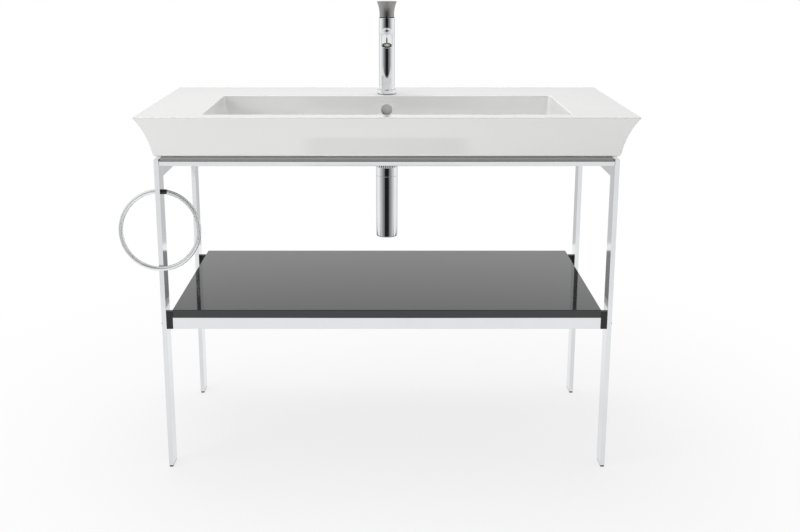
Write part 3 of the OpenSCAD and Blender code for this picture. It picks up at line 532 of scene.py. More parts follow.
def flare(depth, grow=0.0):
    """How far the flare has gone in at a depth below the rim; grow is a distance inside its skin."""
    return flare_centre.x + math.sqrt((FLARE_R + grow) ** 2 - (flare_centre.y - depth) ** 2)


# %% Rows down the outside and up behind it
RIM_R, ARC_FROM, ARC_STEPS, FOOT_STEPS, FOOT_BACK = 1.6, 6, 13, 7, 2
rim_turns = [math.radians(a) for a in range(0, 91, 18)]
rim = [(RIM_R * (1 - math.sin(a)), RIM_R * (1 - math.cos(a))) for a in rim_turns]
skin = [(i, d, i) for i, d in rim] + [(0, 2.3, 0), (0.08, 2.9, 0), (flare(3.7), 3.7, 0)]
arc_depths = [ARC_FROM + (touch.y - ARC_FROM) * k / ARC_STEPS for k in range(ARC_STEPS + 1)]
skin += [(flare(d), d, 0) for d in arc_depths]
turn_from = math.atan2(touch.y - foot.y, touch.x - foot.x)
for k in range(1, FOOT_STEPS + 1):
    a = turn_from + (math.pi / 2 - turn_from) * k / FOOT_STEPS
    in_at_wall = FOOT_BACK * (k / FOOT_STEPS) ** 2
    skin.append((foot.x + FOOT_R * math.cos(a), foot.y + FOOT_R * math.sin(a), in_at_wall))
rows = [outside(i, rim_z - d, b) for i, d, b in skin]
behind_skin = [(flare(d, wall), d) for d in (SKIRT_H, 88, 75, 60, 45, 30, 18, deck)]
rows += [rectangle(-half_w + i, half_w - i, front_y + i, back_y - wall, rim_z - d, 4, 4)
         for i, d in behind_skin]
print("rows round the outside", len(rows))

# %% Rows down the outside of the bowl's wall
UNDER_FROM, UNDER_DROP, UNDER_IN, UNDER_STEPS, UNDER_CORNER = 80, 28, 32, 6, 26


def shell(depth, inset, r):
    """A row round the outside of the bowl's wall, a wall's thickness out from the bowl."""
    return inside(inset - wall, rim_z - depth, r)


rows += [shell(depth, depth * draft, r) for depth, r in ((deck, 14), (40, 18), (UNDER_FROM, 24))]
for k in range(1, UNDER_STEPS + 1):
    a = math.radians(90 * k / UNDER_STEPS)
    inset = bowl_depth * draft + UNDER_IN * (1 - math.cos(a))
    rows.append(shell(UNDER_FROM + UNDER_DROP * math.sin(a), inset, UNDER_CORNER))
underside = rows[-1]

# %% Rows through the drain
BOSS_R, DRAIN_R, SEAT_R, SEAT_DEEP, DISH_EDGE_R, DISH_RISE = 34, 22.5, 33, 3, 40, 0.3
boss_z = basin_low.z
boss_top = round_drain(BOSS_R, drain_z - wall)
rows += [between(underside, boss_top, t) for t in (0.25, 0.5, 0.75)] + [boss_top]
drain_profile = rounded(
    [(BOSS_R, drain_z - wall, 0), (BOSS_R, boss_z, 2), (DRAIN_R, boss_z, 1),
     (DRAIN_R, drain_z - SEAT_DEEP, 1), (SEAT_R, drain_z - SEAT_DEEP, 0.6), (SEAT_R, drain_z, 1.2),
     (DISH_EDGE_R, drain_z + DISH_RISE, 0)], 3)
rows += [round_drain(r, z) for r, z in drain_profile][1:]
dish_edge = rows[-1]

# %% [markdown]
# ### The bowl
# The floor falls from the bowl's edge to the drain and sags by under a millimetre, as a fired casting does.
# A large round joins it to the walls; its lower end is drawn a little flatter than a circle. The walls lean
# out by the draft that lets the casting leave its mould, and their upper edge is rounded into the rim.

# %% Rows of the bowl's floor and walls
BOTTOM_R, BOTTOM_FLAT, BOTTOM_STEP, BOTTOM_ROWS, SAG = 20, 0.93, 13.9, 7, 0.7
round_from = bowl_depth - BOTTOM_R
floor_edge = inside(bowl_depth * draft + BOTTOM_R * BOTTOM_FLAT, rim_z - bowl_depth + 0.1, 12)
floor_shares = (0.06, 0.15, 0.3, 0.5, 0.7, 0.87)
rows += [between(dish_edge, floor_edge, t, -SAG * math.sin(math.pi * t)) for t in floor_shares]
for k in range(BOTTOM_ROWS):
    a = math.radians(90 - BOTTOM_STEP * k)
    inset = bowl_depth * draft + BOTTOM_R * (BOTTOM_FLAT - math.cos(a) * BOTTOM_FLAT)
    inset -= draft * BOTTOM_R * math.cos(a) * 0.1
    rows.append(inside(inset, rim_z - round_from - BOTTOM_R * math.sin(a), 14 - k * 0.5))
rows += [inside(d * draft, rim_z - d, 6 + 5 * d / round_from) for d in (60, 44, 28, 14, 6)]

# %% Rows over the bowl's upper edge, and the whole casting
EDGE_R, EDGE_STEPS = 3, 6
for k in range(1, EDGE_STEPS + 1):
    a = math.radians(90 * k / EDGE_STEPS)
    inset = 0.35 * math.cos(a) - EDGE_R * (1 - math.cos(a))
    rows.append(inside(inset, rim_z - EDGE_R * (1 - math.sin(a)), 6 + 0.5 * k))
basin = thing("basin_glazed", loft(rows, closed=True))
print("basin rows", len(rows), "points a row", len(rows[0]))

# %% [markdown]
# ### The basin's holes and channel
# The overflow is a round hole in the bowl's back wall. It opens into a channel that runs down behind the
# bowl and forward under its floor to the drain. The tap hole and the two hanger holes are plain. These few
# shapes cross the skin at odd places, so they are joined and cut with exact booleans.

# %% Channel and lands
CHANNEL_HALF, CHANNEL_IN, CHANNEL_BACK, CHANNEL_TOP = 27.5, 88.8, 107.5, 787.5
LAND_X, LAND_HALF, LAND_YS = 469.5, 14.5, ((-204, -176), (181, 234))
# Two faces in one plane confuse a boolean, so each box stops SHY short of the next one's faces.
SHY = 0.1
run_top = drain_z - 1.5
channel_box = box_mesh((-CHANNEL_HALF, CHANNEL_IN, boss_z + 4 * SHY),
                       (CHANNEL_HALF, CHANNEL_BACK, CHANNEL_TOP))
channel_run = box_mesh((-CHANNEL_HALF + SHY, drain.y + 27, boss_z + 5 * SHY),
                       (CHANNEL_HALF - SHY, CHANNEL_BACK - 2 * SHY, run_top))
lands = [box_mesh((side * LAND_X - LAND_HALF, y0, bottom_z + SHY / 10),
                  (side * LAND_X + LAND_HALF, y1, rim_z - deck + 1))
         for side in (-1, 1) for y0, y1 in LAND_YS]
cut(basin, [channel_box, channel_run, *lands], "UNION")

# %% Overflow, tap hole and hanger holes
OVERFLOW_Z, OVERFLOW_DROP, OVERFLOW_R = 769, 34, 13
TAP_HOLE_R, HANGER_R, HANGER_X, HANGER_Z = 17.5, 7, 140, 755
CHANNEL_WALL, HOLLOW_FRONT, HOLLOW_DEEP = 5.5, 94, 20
# The overflow lies 34 mm below the rim, where the leaning wall has come forward by its draft.
overflow_y = bowl_back_y - OVERFLOW_DROP * draft
leaning = Matrix.Rotation(math.radians(-90 - DRAFT_A), 4, "X")
into_wall = Matrix.Translation((0, overflow_y, OVERFLOW_Z)) @ leaning
overflow_profile = [(0, -6), (17, -6), (16.2, 0.02), (14.4, 0.5), (13.4, 1.4), (OVERFLOW_R, 2.6),
                    (OVERFLOW_R, 12), (0, 12)]
overflow_tool = loft([[into_wall @ Vector(p) for p in ring_of(r, h, 64)] for r, h in overflow_profile])
hollow = box_mesh((-CHANNEL_HALF + CHANNEL_WALL, HOLLOW_FRONT, drain_z - HOLLOW_DEEP),
                  (CHANNEL_HALF - CHANNEL_WALL, CHANNEL_BACK - CHANNEL_WALL, CHANNEL_TOP - CHANNEL_WALL))
tap_tool = drill(TAP_HOLE_R, -20, 20, (tap.x, tap.y, rim_z), n=64)
hangers = [drill(HANGER_R, -30, 10, (side * HANGER_X, back_y, HANGER_Z), "Y") for side in (-1, 1)]
cut(basin, [hollow, overflow_tool, tap_tool, *hangers])
piece(basin, china, ["basin"], sharp=32)

# %% [markdown]
# ## The studio
# The object stands on white, and its chrome tells what was round it: light from the sides and from below.
# The world gives the camera plain white. To reflections it gives a room that depends on the ray's direction
# alone: a grey for each heading, from straight behind the camera (share 0) round to straight behind the
# object (share 1). There is one row of greys for level rays, one for rising rays and one for falling rays.
# All other rays get the same room dimmed to the share AMBIENT, which leaves the rest to the lamps.

# %% A ray's heading as a share of half a turn
scene = bpy.context.scene
world = bpy.data.worlds.new("studio")
scene.world = world
world.use_nodes = True
room_tree = world.node_tree
room_tree.nodes.clear()
direction = add(room_tree, "ShaderNodeTexCoord").outputs["Generated"]
axes = add(room_tree, "ShaderNodeSeparateXYZ", {0: direction}).outputs
sideways = add(room_tree, "ShaderNodeMath", {0: axes["X"]}, operation="ABSOLUTE").outputs[0]
forward = add(room_tree, "ShaderNodeMath", {0: axes["Y"], 1: -1.0}, operation="MULTIPLY").outputs[0]
heading = add(room_tree, "ShaderNodeMath", {0: sideways, 1: forward}, operation="ARCTAN2").outputs[0]
share = add(room_tree, "ShaderNodeMath", {0: heading, 1: 1 / math.pi}, operation="MULTIPLY").outputs[0]

# %% The room's greys
NEAR_CAMERA = [(0.0, 0.95), (0.088, 0.95), (0.1, 0.12)]
LEVEL = NEAR_CAMERA + [(0.18, 0.2), (0.25, 0.34), (0.33, 0.58), (0.44, 0.88), (0.54, 1.0), (0.72, 1.0),
                       (0.79, 0.62), (1.0, 0.6)]
RISING = [(0.0, 0.01), (0.05, 0.02), (0.1, 0.3), (0.17, 0.75), (0.25, 1.0)]
FALLING = NEAR_CAMERA + [(0.19, 0.25), (0.33, 0.55), (0.43, 0.85), (0.52, 1.0), (0.74, 1.0), (0.8, 0.66),
                         (1.0, 0.62)]
greys = []
for stops in (LEVEL, RISING, FALLING):
    by_heading = add(room_tree, "ShaderNodeValToRGB", {"Fac": share})
    elements = by_heading.color_ramp.elements
    while len(elements) < len(stops):
        elements.new(1.0)
    for element, (position, grey) in zip(elements, stops):
        element.position, element.color = position, (grey, grey, grey, 1)
    greys.append(by_heading.outputs[0])
level, above, below = greys
print("greys for", len(greys), "slopes of ray")

# %% Where level rays turn into rising and falling ones
AMBIENT = 0.52
height = axes["Z"]
rise = add(room_tree, "ShaderNodeMapRange", {
    "Value": height, "From Min": 0.06, "From Max": 0.32}).outputs[0]
drop = add(room_tree, "ShaderNodeMapRange", {
    "Value": height, "From Min": -0.14, "From Max": -0.165}).outputs[0]
behind = add(room_tree, "ShaderNodeMapRange", {
    "Value": share, "From Min": 0.72, "From Max": 0.85}).outputs[0]
far_wall = add(room_tree, "ShaderNodeMapRange", {
    "Value": height, "From Min": 0.29, "From Max": 0.36, "To Min": 1.0, "To Max": 0.7}).outputs[0]
upper = add(room_tree, "ShaderNodeMix", {0: behind, 6: above, 7: far_wall}, data_type="RGBA").outputs[2]
not_low = add(room_tree, "ShaderNodeMix", {0: rise, 6: level, 7: upper}, data_type="RGBA").outputs[2]
surroundings = add(room_tree, "ShaderNodeMix", {0: drop, 6: not_low, 7: below}, data_type="RGBA").outputs[2]
paths = add(room_tree, "ShaderNodeLightPath").outputs
dimmed = add(room_tree, "ShaderNodeMix", {
    0: AMBIENT, 6: (0, 0, 0, 1), 7: surroundings}, data_type="RGBA").outputs[2]
seen_room = add(room_tree, "ShaderNodeMix", {
    0: paths["Is Glossy Ray"], 6: dimmed, 7: surroundings}, data_type="RGBA").outputs[2]
room = add(room_tree, "ShaderNodeBackground", {"Color": seen_room, "Strength": 1.0})
plain = add(room_tree, "ShaderNodeBackground", {"Color": (1, 1, 1, 1), "Strength": 1.0})
both = add(room_tree, "ShaderNodeMixShader", {
    0: paths["Is Camera Ray"], 1: room.outputs[0], 2: plain.outputs[0]})
room_tree.links.new(both.outputs[0], add(room_tree, "ShaderNodeOutputWorld").inputs[0])

# %% [markdown]
# ### The floor
# The floor is a disc that is a real pale surface under the console, where it takes its soft shadow. It
# fades to the white of the background before its edge, so that no edge can show.

# %% Floor
FLOOR_R, FADE_FROM, FADE_TO, LEAST_WHITE = 1.6, 0.45, 1.45, 0.78
floor = thing("floor", turned_mesh([(0, 0, 0), (FLOOR_R / MM, 0, 0)], (0, 0, 0)))
floor_finish, tree, shader, where = finish("pale floor", "f4f4f4", roughness=0.6)
flat = add(tree, "ShaderNodeVectorMath", {0: where}, operation="LENGTH").outputs["Value"]
fade = add(tree, "ShaderNodeMapRange", interpolation_type="SMOOTHSTEP", inputs={
    "Value": flat, "From Min": FADE_FROM, "From Max": FADE_TO, "To Min": LEAST_WHITE}).outputs[0]
white = add(tree, "ShaderNodeEmission", {"Color": (1, 1, 1, 1), "Strength": 1.0})
melt = add(tree, "ShaderNodeMixShader", {0: fade, 1: shader.outputs[0], 2: white.outputs[0]})
tree.links.new(melt.outputs[0], tree.nodes["Material Output"].inputs[0])
floor.data.materials.append(floor_finish)

# %% [markdown]
# ### Two black cards
# Polished metal in an all white room looks like plaster. Photographers stand black cards beside it, which
# draw a dark line down each round part. One card here is for the tap and one for the trap. Both are small
# and near, so that the flat bars of the frame look past them, and their sides fade out, so that the dark
# lines have soft edges. Only reflections see them.

# %% Two black cards
CARD_Y, SOLID_SHARE = -0.6, 0.8


def flag(name, width, low_z, high_z):
    """An upright black card, faded at its sides; metres."""
    corners = [(x, CARD_Y, z) for z in (low_z, high_z) for x in (-width / 2, width / 2)]
    mesh = bpy.data.meshes.new(name)
    mesh.from_pydata(corners, [], [(0, 1, 3, 2)])
    obj = thing(name, mesh)
    black, tree, shader, where = finish("black flag cloth", "050505", roughness=0.9)
    across = add(tree, "ShaderNodeSeparateXYZ", {0: where}).outputs["X"]
    out = add(tree, "ShaderNodeMath", {0: across}, operation="ABSOLUTE").outputs[0]
    edge = add(tree, "ShaderNodeMapRange", interpolation_type="SMOOTHSTEP", inputs={
        "Value": out, "From Min": width / 2 * SOLID_SHARE, "From Max": width / 2}).outputs[0]
    clear = add(tree, "ShaderNodeBsdfTransparent")
    mixed = add(tree, "ShaderNodeMixShader", {0: edge, 1: shader.outputs[0], 2: clear.outputs[0]})
    tree.links.new(mixed.outputs[0], tree.nodes["Material Output"].inputs[0])
    mesh.materials.append(black)
    obj.visible_camera = obj.visible_diffuse = obj.visible_shadow = False


flag("trap flag", 0.46, 0.335, 0.59)
flag("tap flag", 0.56, 0.725, 1.25)

# %% [markdown]
# ### Lamps
# Three large soft lamps aim at the middle of the object. The one overhead stands a little behind it and
# gives the shadow its direction. The one on the left keeps the basin's front from going flat, and the low
# one in front lights the flare, which turns away from the other two. Reflections don't see the lamps,
# because the world's room already stands for them.

# %% Lamps
LAMP_AIM = Vector((0, 0, 0.6))


def lamp(name, place, size, watts):
    """A square area lamp that looks at the object; its place and size are in metres."""
    data = bpy.data.lights.new(name, "AREA")
    data.size, data.energy = size, watts
    obj = bpy.data.objects.new(name, data)
    obj.location = place
    obj.rotation_euler = (LAMP_AIM - Vector(place)).to_track_quat("-Z", "Y").to_euler()
    obj.visible_camera = obj.visible_glossy = False
    bpy.context.collection.objects.link(obj)


lamp("overhead", (-0.25, 0.4, 3.0), 1.8, 44)
lamp("left", (-2.6, -1.6, 1.9), 1.4, 17)
lamp("front", (-0.7, -2.9, 0.4), 1.3, 24)
print("lamps", len(bpy.data.lights))

# %% [markdown]
# ## Geometry Nodes for what repeats
# Screws, pads and feet are each one shape that is set down in several places. A small node tree does that:
# it takes points from a mesh, reads each point's turn from an attribute, and puts a copy of a template
# there. The copies are realised, because the export keeps only real geometry, and the result is turned into
# one plain mesh.

# %% Building and running a node tree
def node_tree(name, **sockets):
    """A Geometry Nodes tree with named inputs, such as Radius="Float", and its input and output nodes."""
    tree = bpy.data.node_groups.new(name, "GeometryNodeTree")
    tree.interface.new_socket("Geometry", in_out="INPUT", socket_type="NodeSocketGeometry")
    for label, kind in sockets.items():
        tree.interface.new_socket(label, in_out="INPUT", socket_type="NodeSocket" + kind)
    tree.interface.new_socket("Geometry", in_out="OUTPUT", socket_type="NodeSocketGeometry")
    return tree, add(tree, "NodeGroupInput").outputs, add(tree, "NodeGroupOutput")


def grown(obj, tree, **values):
    """Runs a tree on an object with the given inputs and turns the result into a plain mesh object."""
    modifier = obj.modifiers.new("nodes", "NODES")
    modifier.node_group = tree
    sockets = {s.name: s.identifier for s in tree.interface.items_tree if s.in_out == "INPUT"}
    for label, value in values.items():
        modifier[sockets[label]] = value
    bpy.context.view_layer.update()
    evaluated = obj.evaluated_get(bpy.context.evaluated_depsgraph_get())
    name, mesh = obj.name, bpy.data.meshes.new_from_object(evaluated)
    obj.modifiers.clear()
    bpy.data.objects.remove(obj)
    return thing(name, mesh)


set_down, given, out = node_tree("set down copies", Template="Object", Material="Material")
shape = add(set_down, "GeometryNodeObjectInfo", {"Object": given["Template"]}).outputs["Geometry"]
angles = add(set_down, "GeometryNodeInputNamedAttribute", {"Name": "turn"}, data_type="FLOAT_VECTOR")
turns = add(set_down, "FunctionNodeEulerToRotation", {0: angles.outputs[0]})
copies = add(set_down, "GeometryNodeInstanceOnPoints", {
    "Points": given["Geometry"], "Instance": shape, "Rotation": turns.outputs[0]})
real_copies = add(set_down, "GeometryNodeRealizeInstances", {0: copies.outputs[0]})
finished_copies = add(set_down, "GeometryNodeSetMaterial", {
    "Geometry": real_copies.outputs[0], "Material": given["Material"]})
set_down.links.new(finished_copies.outputs[0], out.inputs[0])


def copies_at(name, template, places, material):
    """places are (x, y, z) or ((x, y, z), (rx, ry, rz)), in mm and degrees."""
    spots = [p if isinstance(p[0], tuple) else (p, (0, 0, 0)) for p in places]
    mesh = bpy.data.meshes.new(name)
    mesh.from_pydata([Vector(p) * MM for p, _ in spots], [], [])
    turn = mesh.attributes.new("turn", "FLOAT_VECTOR", "POINT")
    for item, (_, angles) in zip(turn.data, spots):
        item.vector = [math.radians(a) for a in angles]
    helper = thing("template", template)
    obj = grown(thing(name, mesh), set_down, Template=helper, Material=material)
    bpy.data.objects.remove(helper)
    return obj


# %% [markdown]
# ## The console
# Four legs and four rails of flat bar make the frame that carries the basin. The bars are ground steel with
# their edges just broken, so each is a box with a small bevel. The holes of the frame screws are
# countersunk into the legs, and the front rail is cut back where the bowl hangs behind it.

# %% Places on the frame
BAR_EDGE, LEG_T = 0.9, 10
screw_low, screw_high = mm_box("frame_screws")
frame_screw_z = (screw_low.z + screw_high.z) / 2
frame_ys = [middle_of("shelf_rail_front").y, middle_of("shelf_rail_rear").y]
leg_face_x = mm_box("leg_front_right")[1].x
bush_low, bush_high = mm_box("ring_bush")
leg_middle_x = mm_box("leg_front_left")[0].x + LEG_T / 2
pivot = Vector((leg_middle_x, (bush_low.y + bush_high.y) / 2, (bush_low.z + bush_high.z) / 2))

# %% Legs
BUSH_R = 5.25


def countersink(side, y):
    """A cutter for a countersunk hole in the outer face of a leg."""
    profile = [(0, 1), (6.4, 1), (6.1, 0), (3.2, -3), (3.2, -12), (0, -12)]
    at = (side * leg_face_x, y, frame_screw_z)
    return turned_mesh([(r, h * side, 0) for r, h in profile], at, "X", n=48)


for side, hand in ((-1, "left"), (1, "right")):
    for place, y in (("front", frame_ys[0]), ("rear", frame_ys[1])):
        node = f"leg_{place}_{hand}"
        leg = thing("bar_" + node, box_mesh(*mm_box(node)))
        holes = [countersink(side, y)]
        if node == "leg_front_left":
            holes.append(drill(BUSH_R, -8, 8, pivot, "X"))
        cut(leg, holes)
        piece(leg, steel_along[2], [node], bevel=BAR_EDGE)

# %% Rails
bowl_out = bowl_half_w + wall
ways = {"rail_left": 1, "rail_right": 1, "rail_rear": 0, "rail_front": 0, "shelf_rail_left": 1,
        "shelf_rail_right": 1, "shelf_rail_front": 0, "shelf_rail_rear": 0}
for node, way in ways.items():
    rail = thing("bar_" + node, box_mesh(*mm_box(node)))
    if node == "rail_front":
        # The cutter is as wide as the bowl's outside and starts half a millimetre in front of it.
        cut_y = bowl_front_y - wall + (rim_z - mm_box(node)[1].z) * draft - 0.5
        cut(rail, [box_mesh((-bowl_out, cut_y, 600), (bowl_out, -100, 800))])
    piece(rail, steel_along[way], [node], bevel=BAR_EDGE)

# %% [markdown]
# ### Pads
# The basin lies on four round rubber pads, one near each corner of the frame. They are one small shape that
# the node tree sets down four times.

# %% Pads
PAD_R = 10
pad_low, pad_high = mm_box("basin_pads")
pad_h = pad_high.z - pad_low.z
leg_ys = [pad_low.y + PAD_R, pad_high.y - PAD_R]
pad = turned_mesh([(0, 0, 0), (PAD_R, 0, 0.8), (PAD_R, pad_h, 0.8), (0, pad_h, 0)], (0, 0, 0), n=48)
pad_xs = (pad_low.x + PAD_R, pad_high.x - PAD_R)
pads = copies_at("soft_pads", pad, [(x, y, pad_low.z) for x in pad_xs for y in leg_ys], silicone_and_gap_shade)
piece(pads, silicone_and_gap_shade, ["basin_pads"])

# %% [markdown]
# ### The strip under the basin
# An extruded grey strip closes the gap between the front rail and the basin. It is partly a seal and partly
# painted shade: its grey stands in for the shade that lies in that gap. Its upper half comes forward as a
# lip, and its lower half stands further back on the rail. Extruded rubber is cut to length, here at a
# slant, so the section is drawn once for each end, moved in by its height, and the two are joined and
# closed.

# %% The strip under the basin
LIP_OUT, SLANT_RUN = 1.6, 5
strip_low, strip_high = mm_box("front_strip")
lip_z = (strip_low.z + strip_high.z) / 2
set_back_y = strip_low.y + LIP_OUT
section = rounded([(strip_low.y, strip_high.z, 0.4), (strip_low.y, lip_z, 0.6), (set_back_y, lip_z, 0),
                   (set_back_y, strip_low.z, 0), (strip_high.y, strip_low.z, 0),
                   (strip_high.y, strip_high.z, 0.4)], loop=True)
slant = SLANT_RUN / (strip_high.z - strip_low.z)
strip_ends = [[(side * (strip_high.x - slant * (z - strip_low.z)), y, z) for y, z in section]
              for side in (-1, 1)]
# The strip's grey is painted shade for the gap under the basin's front, as well as a seal.
strip = thing("seal_strip", loft(strip_ends))
end_faces(strip)
piece(strip, silicone_and_gap_shade, ["front_strip"])

# %% [markdown]
# ### Feet
# Each leg stands on a moulded foot that is a little smaller than the bar's end.

# %% Feet
FOOT_HALF_W, FOOT_HALF_D = 4.2, 19.2
foot_h, leg_x = mm_box("foot_pads")[1].z, leg_face_x - LEG_T / 2
foot_mesh = box_mesh((-FOOT_HALF_W, -FOOT_HALF_D, 0), (FOOT_HALF_W, FOOT_HALF_D, foot_h))
foot_places = [(x, y, 0) for x in (-leg_x, leg_x) for y in leg_ys]
feet = copies_at("moulded_feet", foot_mesh, foot_places, nylon)
piece(feet, nylon, ["foot_pads"], bevel=0.6)

# %% [markdown]
# ### Screws
# Countersunk screws with a hexagon socket hold the frame, and smaller ones hold the board from below. Both
# come from one function, and their threads stay plain, because they sit inside the bars.

# %% Screws
SCREW_END_X, SOCKET_SHARE = 454, 0.55


def screw_mesh(thread_d, length):
    """A countersunk screw along +Z with a hexagon socket in its head, which lies at z = 0."""
    head_r, head_h, r = thread_d, thread_d / 2, thread_d / 2
    profile = [(0, length, 0), (r - 0.4, length, 0), (r, length - 0.6, 0), (r, head_h, 0), (head_r, 0.25, 0),
               (head_r - 0.1, 0, 0), (0, 0, 0)]
    screw = thing("screw", turned_mesh(profile, (0, 0, 0), n=32))
    socket_r = thread_d * SOCKET_SHARE / 2 / math.cos(math.radians(30))
    cut(screw, [drill(socket_r, -1, head_h, (0, 0, 0), n=6)])
    mesh = screw.data
    bpy.data.objects.remove(screw)
    return mesh


frame_screws = copies_at("frame_screws_socket", screw_mesh(6, screw_high.x - SCREW_END_X),
                         [((side * leg_face_x, y, frame_screw_z), (0, -90 * side, 0))
                          for side in (-1, 1) for y in frame_ys], stainless)
piece(frame_screws, stainless, ["frame_screws"])
board_low, board_high = mm_box("shelf_board")
bolt_low, bolt_high = mm_box("board_screws")
board_screws = copies_at("board_screws_socket", screw_mesh(4, bolt_high.z - bolt_low.z),
                         [(i * (board_high.x - board_low.x) / 3, y, bolt_low.z) for i in (-1, 0, 1)
                          for y in frame_ys], stainless)
piece(board_screws, stainless, ["board_screws"])

# %% [markdown]
# ### The shelf board
# The board is a lacquered panel. Sprayed lacquer can't hold a sharp edge, so its edges have a radius of
# about one millimetre, and the highlight along the front edge comes from it.

# %% Shelf board
board = thing("board_lacquered", box_mesh(board_low, board_high))
piece(board, lacquer, ["shelf_board"], bevel=1.2)

# %% [markdown]
# ### Spacers
# Between the shelf's frame and the legs sit black moulded spacers, which keep metal from rubbing on metal.
# The frame screws pass through them. They are drawn a hair small, so that no face lies in the same plane as
# a bar's.

# %% Spacers
SPACER_HALF_W, SPACER_HALF_D, SPACER_SHY, SCREW_HOLE_R = 7, 6, 0.03, 3.1
spacer_low, spacer_high = mm_box("shelf_spacers")
spacer_ys = [spacer_low.y + SPACER_HALF_D, spacer_high.y - SPACER_HALF_D]
spacer_x = spacer_high.x - SPACER_HALF_W
half_w_drawn, half_d_drawn = SPACER_HALF_W - SPACER_SHY, SPACER_HALF_D - SPACER_SHY
spacer = box_mesh((-half_w_drawn, -half_d_drawn, 0),
                  (half_w_drawn, half_d_drawn, spacer_high.z - spacer_low.z))
spacer_places = [(side * spacer_x, y, spacer_low.z) for side in (-1, 1) for y in spacer_ys]
spacers = copies_at("moulded_spacers", spacer, spacer_places, nylon)
cut(spacers, [drill(SCREW_HOLE_R, -9, 9, (side * spacer_x, y, frame_screw_z), "X", n=32)
              for side in (-1, 1) for y in frame_ys])
piece(spacers, nylon, ["shelf_spacers"], bevel=0.7)

# %% [markdown]
# ## The tap
# Every body of the tap is turned on a lathe, so each is a profile spun about the tap's axis. The radii in a
# profile are what sell polished metal: an edge of half a millimetre draws the thin bright line round each
# ring.

# %% Base ring
# The handle tilts about a point at this height. The column's dome and the handle's dish are centred there.
TILT_Z = 948.8
BASE_R, BASE_HOLE_R = 23.5, 14.6
tap_at = (tap.x, tap.y, 0)
ring_low, ring_high = mm_box("tap_base_ring")
base = thing("tap_foot_ring", turned_mesh(
    [(BASE_HOLE_R, ring_low.z, 0.2), (BASE_R, ring_low.z, 0.4), (BASE_R, ring_high.z, 1.3),
     (BASE_HOLE_R, ring_high.z, 0.2)], tap_at, closed=True))
piece(base, chrome, ["tap_base_ring"])

# %% Column
COLUMN_R, COLUMN_IN, COLUMN_NECK, NECK_Z, DOME_R = 19, 16, 14.1, 821, 40
SPOUT_R, SPOUT_IN, SPOUT_Z = 13, 11, 946
column_low = mm_box("tap_column")[0]
crown_out, crown_in = (TILT_Z + math.sqrt(DOME_R ** 2 - r * r) for r in (COLUMN_R, COLUMN_IN))
column = thing("tap_column_turned", turned_mesh(
    [(COLUMN_NECK, column_low.z, 0.2), (COLUMN_R, column_low.z, 1.1), (COLUMN_R, crown_out, 0.7),
     (COLUMN_IN, crown_in, 0.3), (COLUMN_IN, NECK_Z, 0.5), (COLUMN_NECK, NECK_Z, 0.2)], tap_at, closed=True))
cut(column, [drill(SPOUT_R + 0.05, 0, 40, (0, tap.y - 45, SPOUT_Z), "Y", n=96)])
piece(column, chrome, ["tap_column"])

# %% [markdown]
# ### The glide ring and the shade line
# A thin black line parts the handle from the column, where the gap between them lies in shade. It is drawn
# as a slim nylon ring that lies on the column's dome, and the handle slides over it, so the line is partly
# a real glide ring and partly painted shade. Its profile follows the dome, a fraction of a millimetre above
# it.

# %% Glide ring, whose black is partly painted shade
# The ring's black stands in for the shade in the gap between handle and column: partly painted shade, partly
# a real glide ring.
GLIDE_SHADE_IN, GLIDE_SHADE_OUT, GLIDE_SHADE_UP, GLIDE_SHADE_T = 16.4, 18.7, 0.02, 0.5
glide_and_shade = []
for r, up in ((GLIDE_SHADE_IN, GLIDE_SHADE_UP), (GLIDE_SHADE_OUT, GLIDE_SHADE_UP), (GLIDE_SHADE_OUT, GLIDE_SHADE_T), (GLIDE_SHADE_IN, GLIDE_SHADE_T)):
    glide_and_shade.append((r, TILT_Z + math.sqrt((DOME_R + up) ** 2 - r * r), 0.1))
piece(thing("glide_ring", turned_mesh(glide_and_shade, tap_at, closed=True)), nylon)

# %% [markdown]
# ### The handle
# The handle flares upwards on a hollow curve of 75 mm radius and is satin plated. Its underside is a
# shallow dish that is centred on the point that it tilts on, so that it clears the column's dome at every
# angle. A hole at the back leads to the grub screw.

# %% The handle's hollow side and its dish
HANDLE_FOOT_R, HANDLE_TOP_R, HOLLOW_R, DISH_R, LIP = 17.5, 23.5, 75, 40.8, 0.8
DISH_STEPS, HOLLOW_STEPS = 12, 24
handle_low, handle_high = mm_box("handle")
foot_point, top_point = Vector((HANDLE_FOOT_R, handle_low.z)), Vector((HANDLE_TOP_R, handle_high.z - LIP))
run = top_point - foot_point
hollow_at = (foot_point + top_point) / 2 + Vector((run.y, -run.x)).normalized() * math.sqrt(
    HOLLOW_R ** 2 - run.length_squared / 4)
spoke, last_spoke = foot_point - hollow_at, top_point - hollow_at
sweep = spoke.angle_signed(last_spoke)
profile = []
for k in range(DISH_STEPS + 1):
    r = HANDLE_FOOT_R * k / DISH_STEPS
    profile.append((r, TILT_Z + math.sqrt(DISH_R ** 2 - r * r), 0.4 if k == DISH_STEPS else 0))
for k in range(1, HOLLOW_STEPS + 1):
    a = -sweep * k / HOLLOW_STEPS
    turned_spoke = Vector((spoke.x * math.cos(a) - spoke.y * math.sin(a),
                           spoke.x * math.sin(a) + spoke.y * math.cos(a)))
    profile.append((*(hollow_at + turned_spoke), 0))
profile += [(HANDLE_TOP_R, handle_high.z, 0.9), (HANDLE_TOP_R - 3, handle_high.z, 0), (0, handle_high.z, 0)]
print("handle profile", len(profile), "corners")

# %% Handle
GRUB_R, GRUB_DEEP = 2.1, 12
handle = thing("handle_turned", turned_mesh(profile, tap_at))
grub_low, grub_high = mm_box("handle_screw")
cut(handle, [drill(GRUB_R, 0, GRUB_DEEP, (0, grub_high.y - 0.1, (grub_low.z + grub_high.z) / 2), "Y", n=32)])
piece(handle, nickel, ["handle"], body="handle")

# %% [markdown]
# ### The spout
# The spout is a bent tube with a wall of 2 mm. Its path is a straight, an arc and a short straight, worked
# out from the real bend. A node tree sweeps a circle along the path, and Solidify gives the tube its wall,
# so the outlet shows a real rim. Where the tube meets the column it grows into a small flare, as a brazed
# and polished joint does.

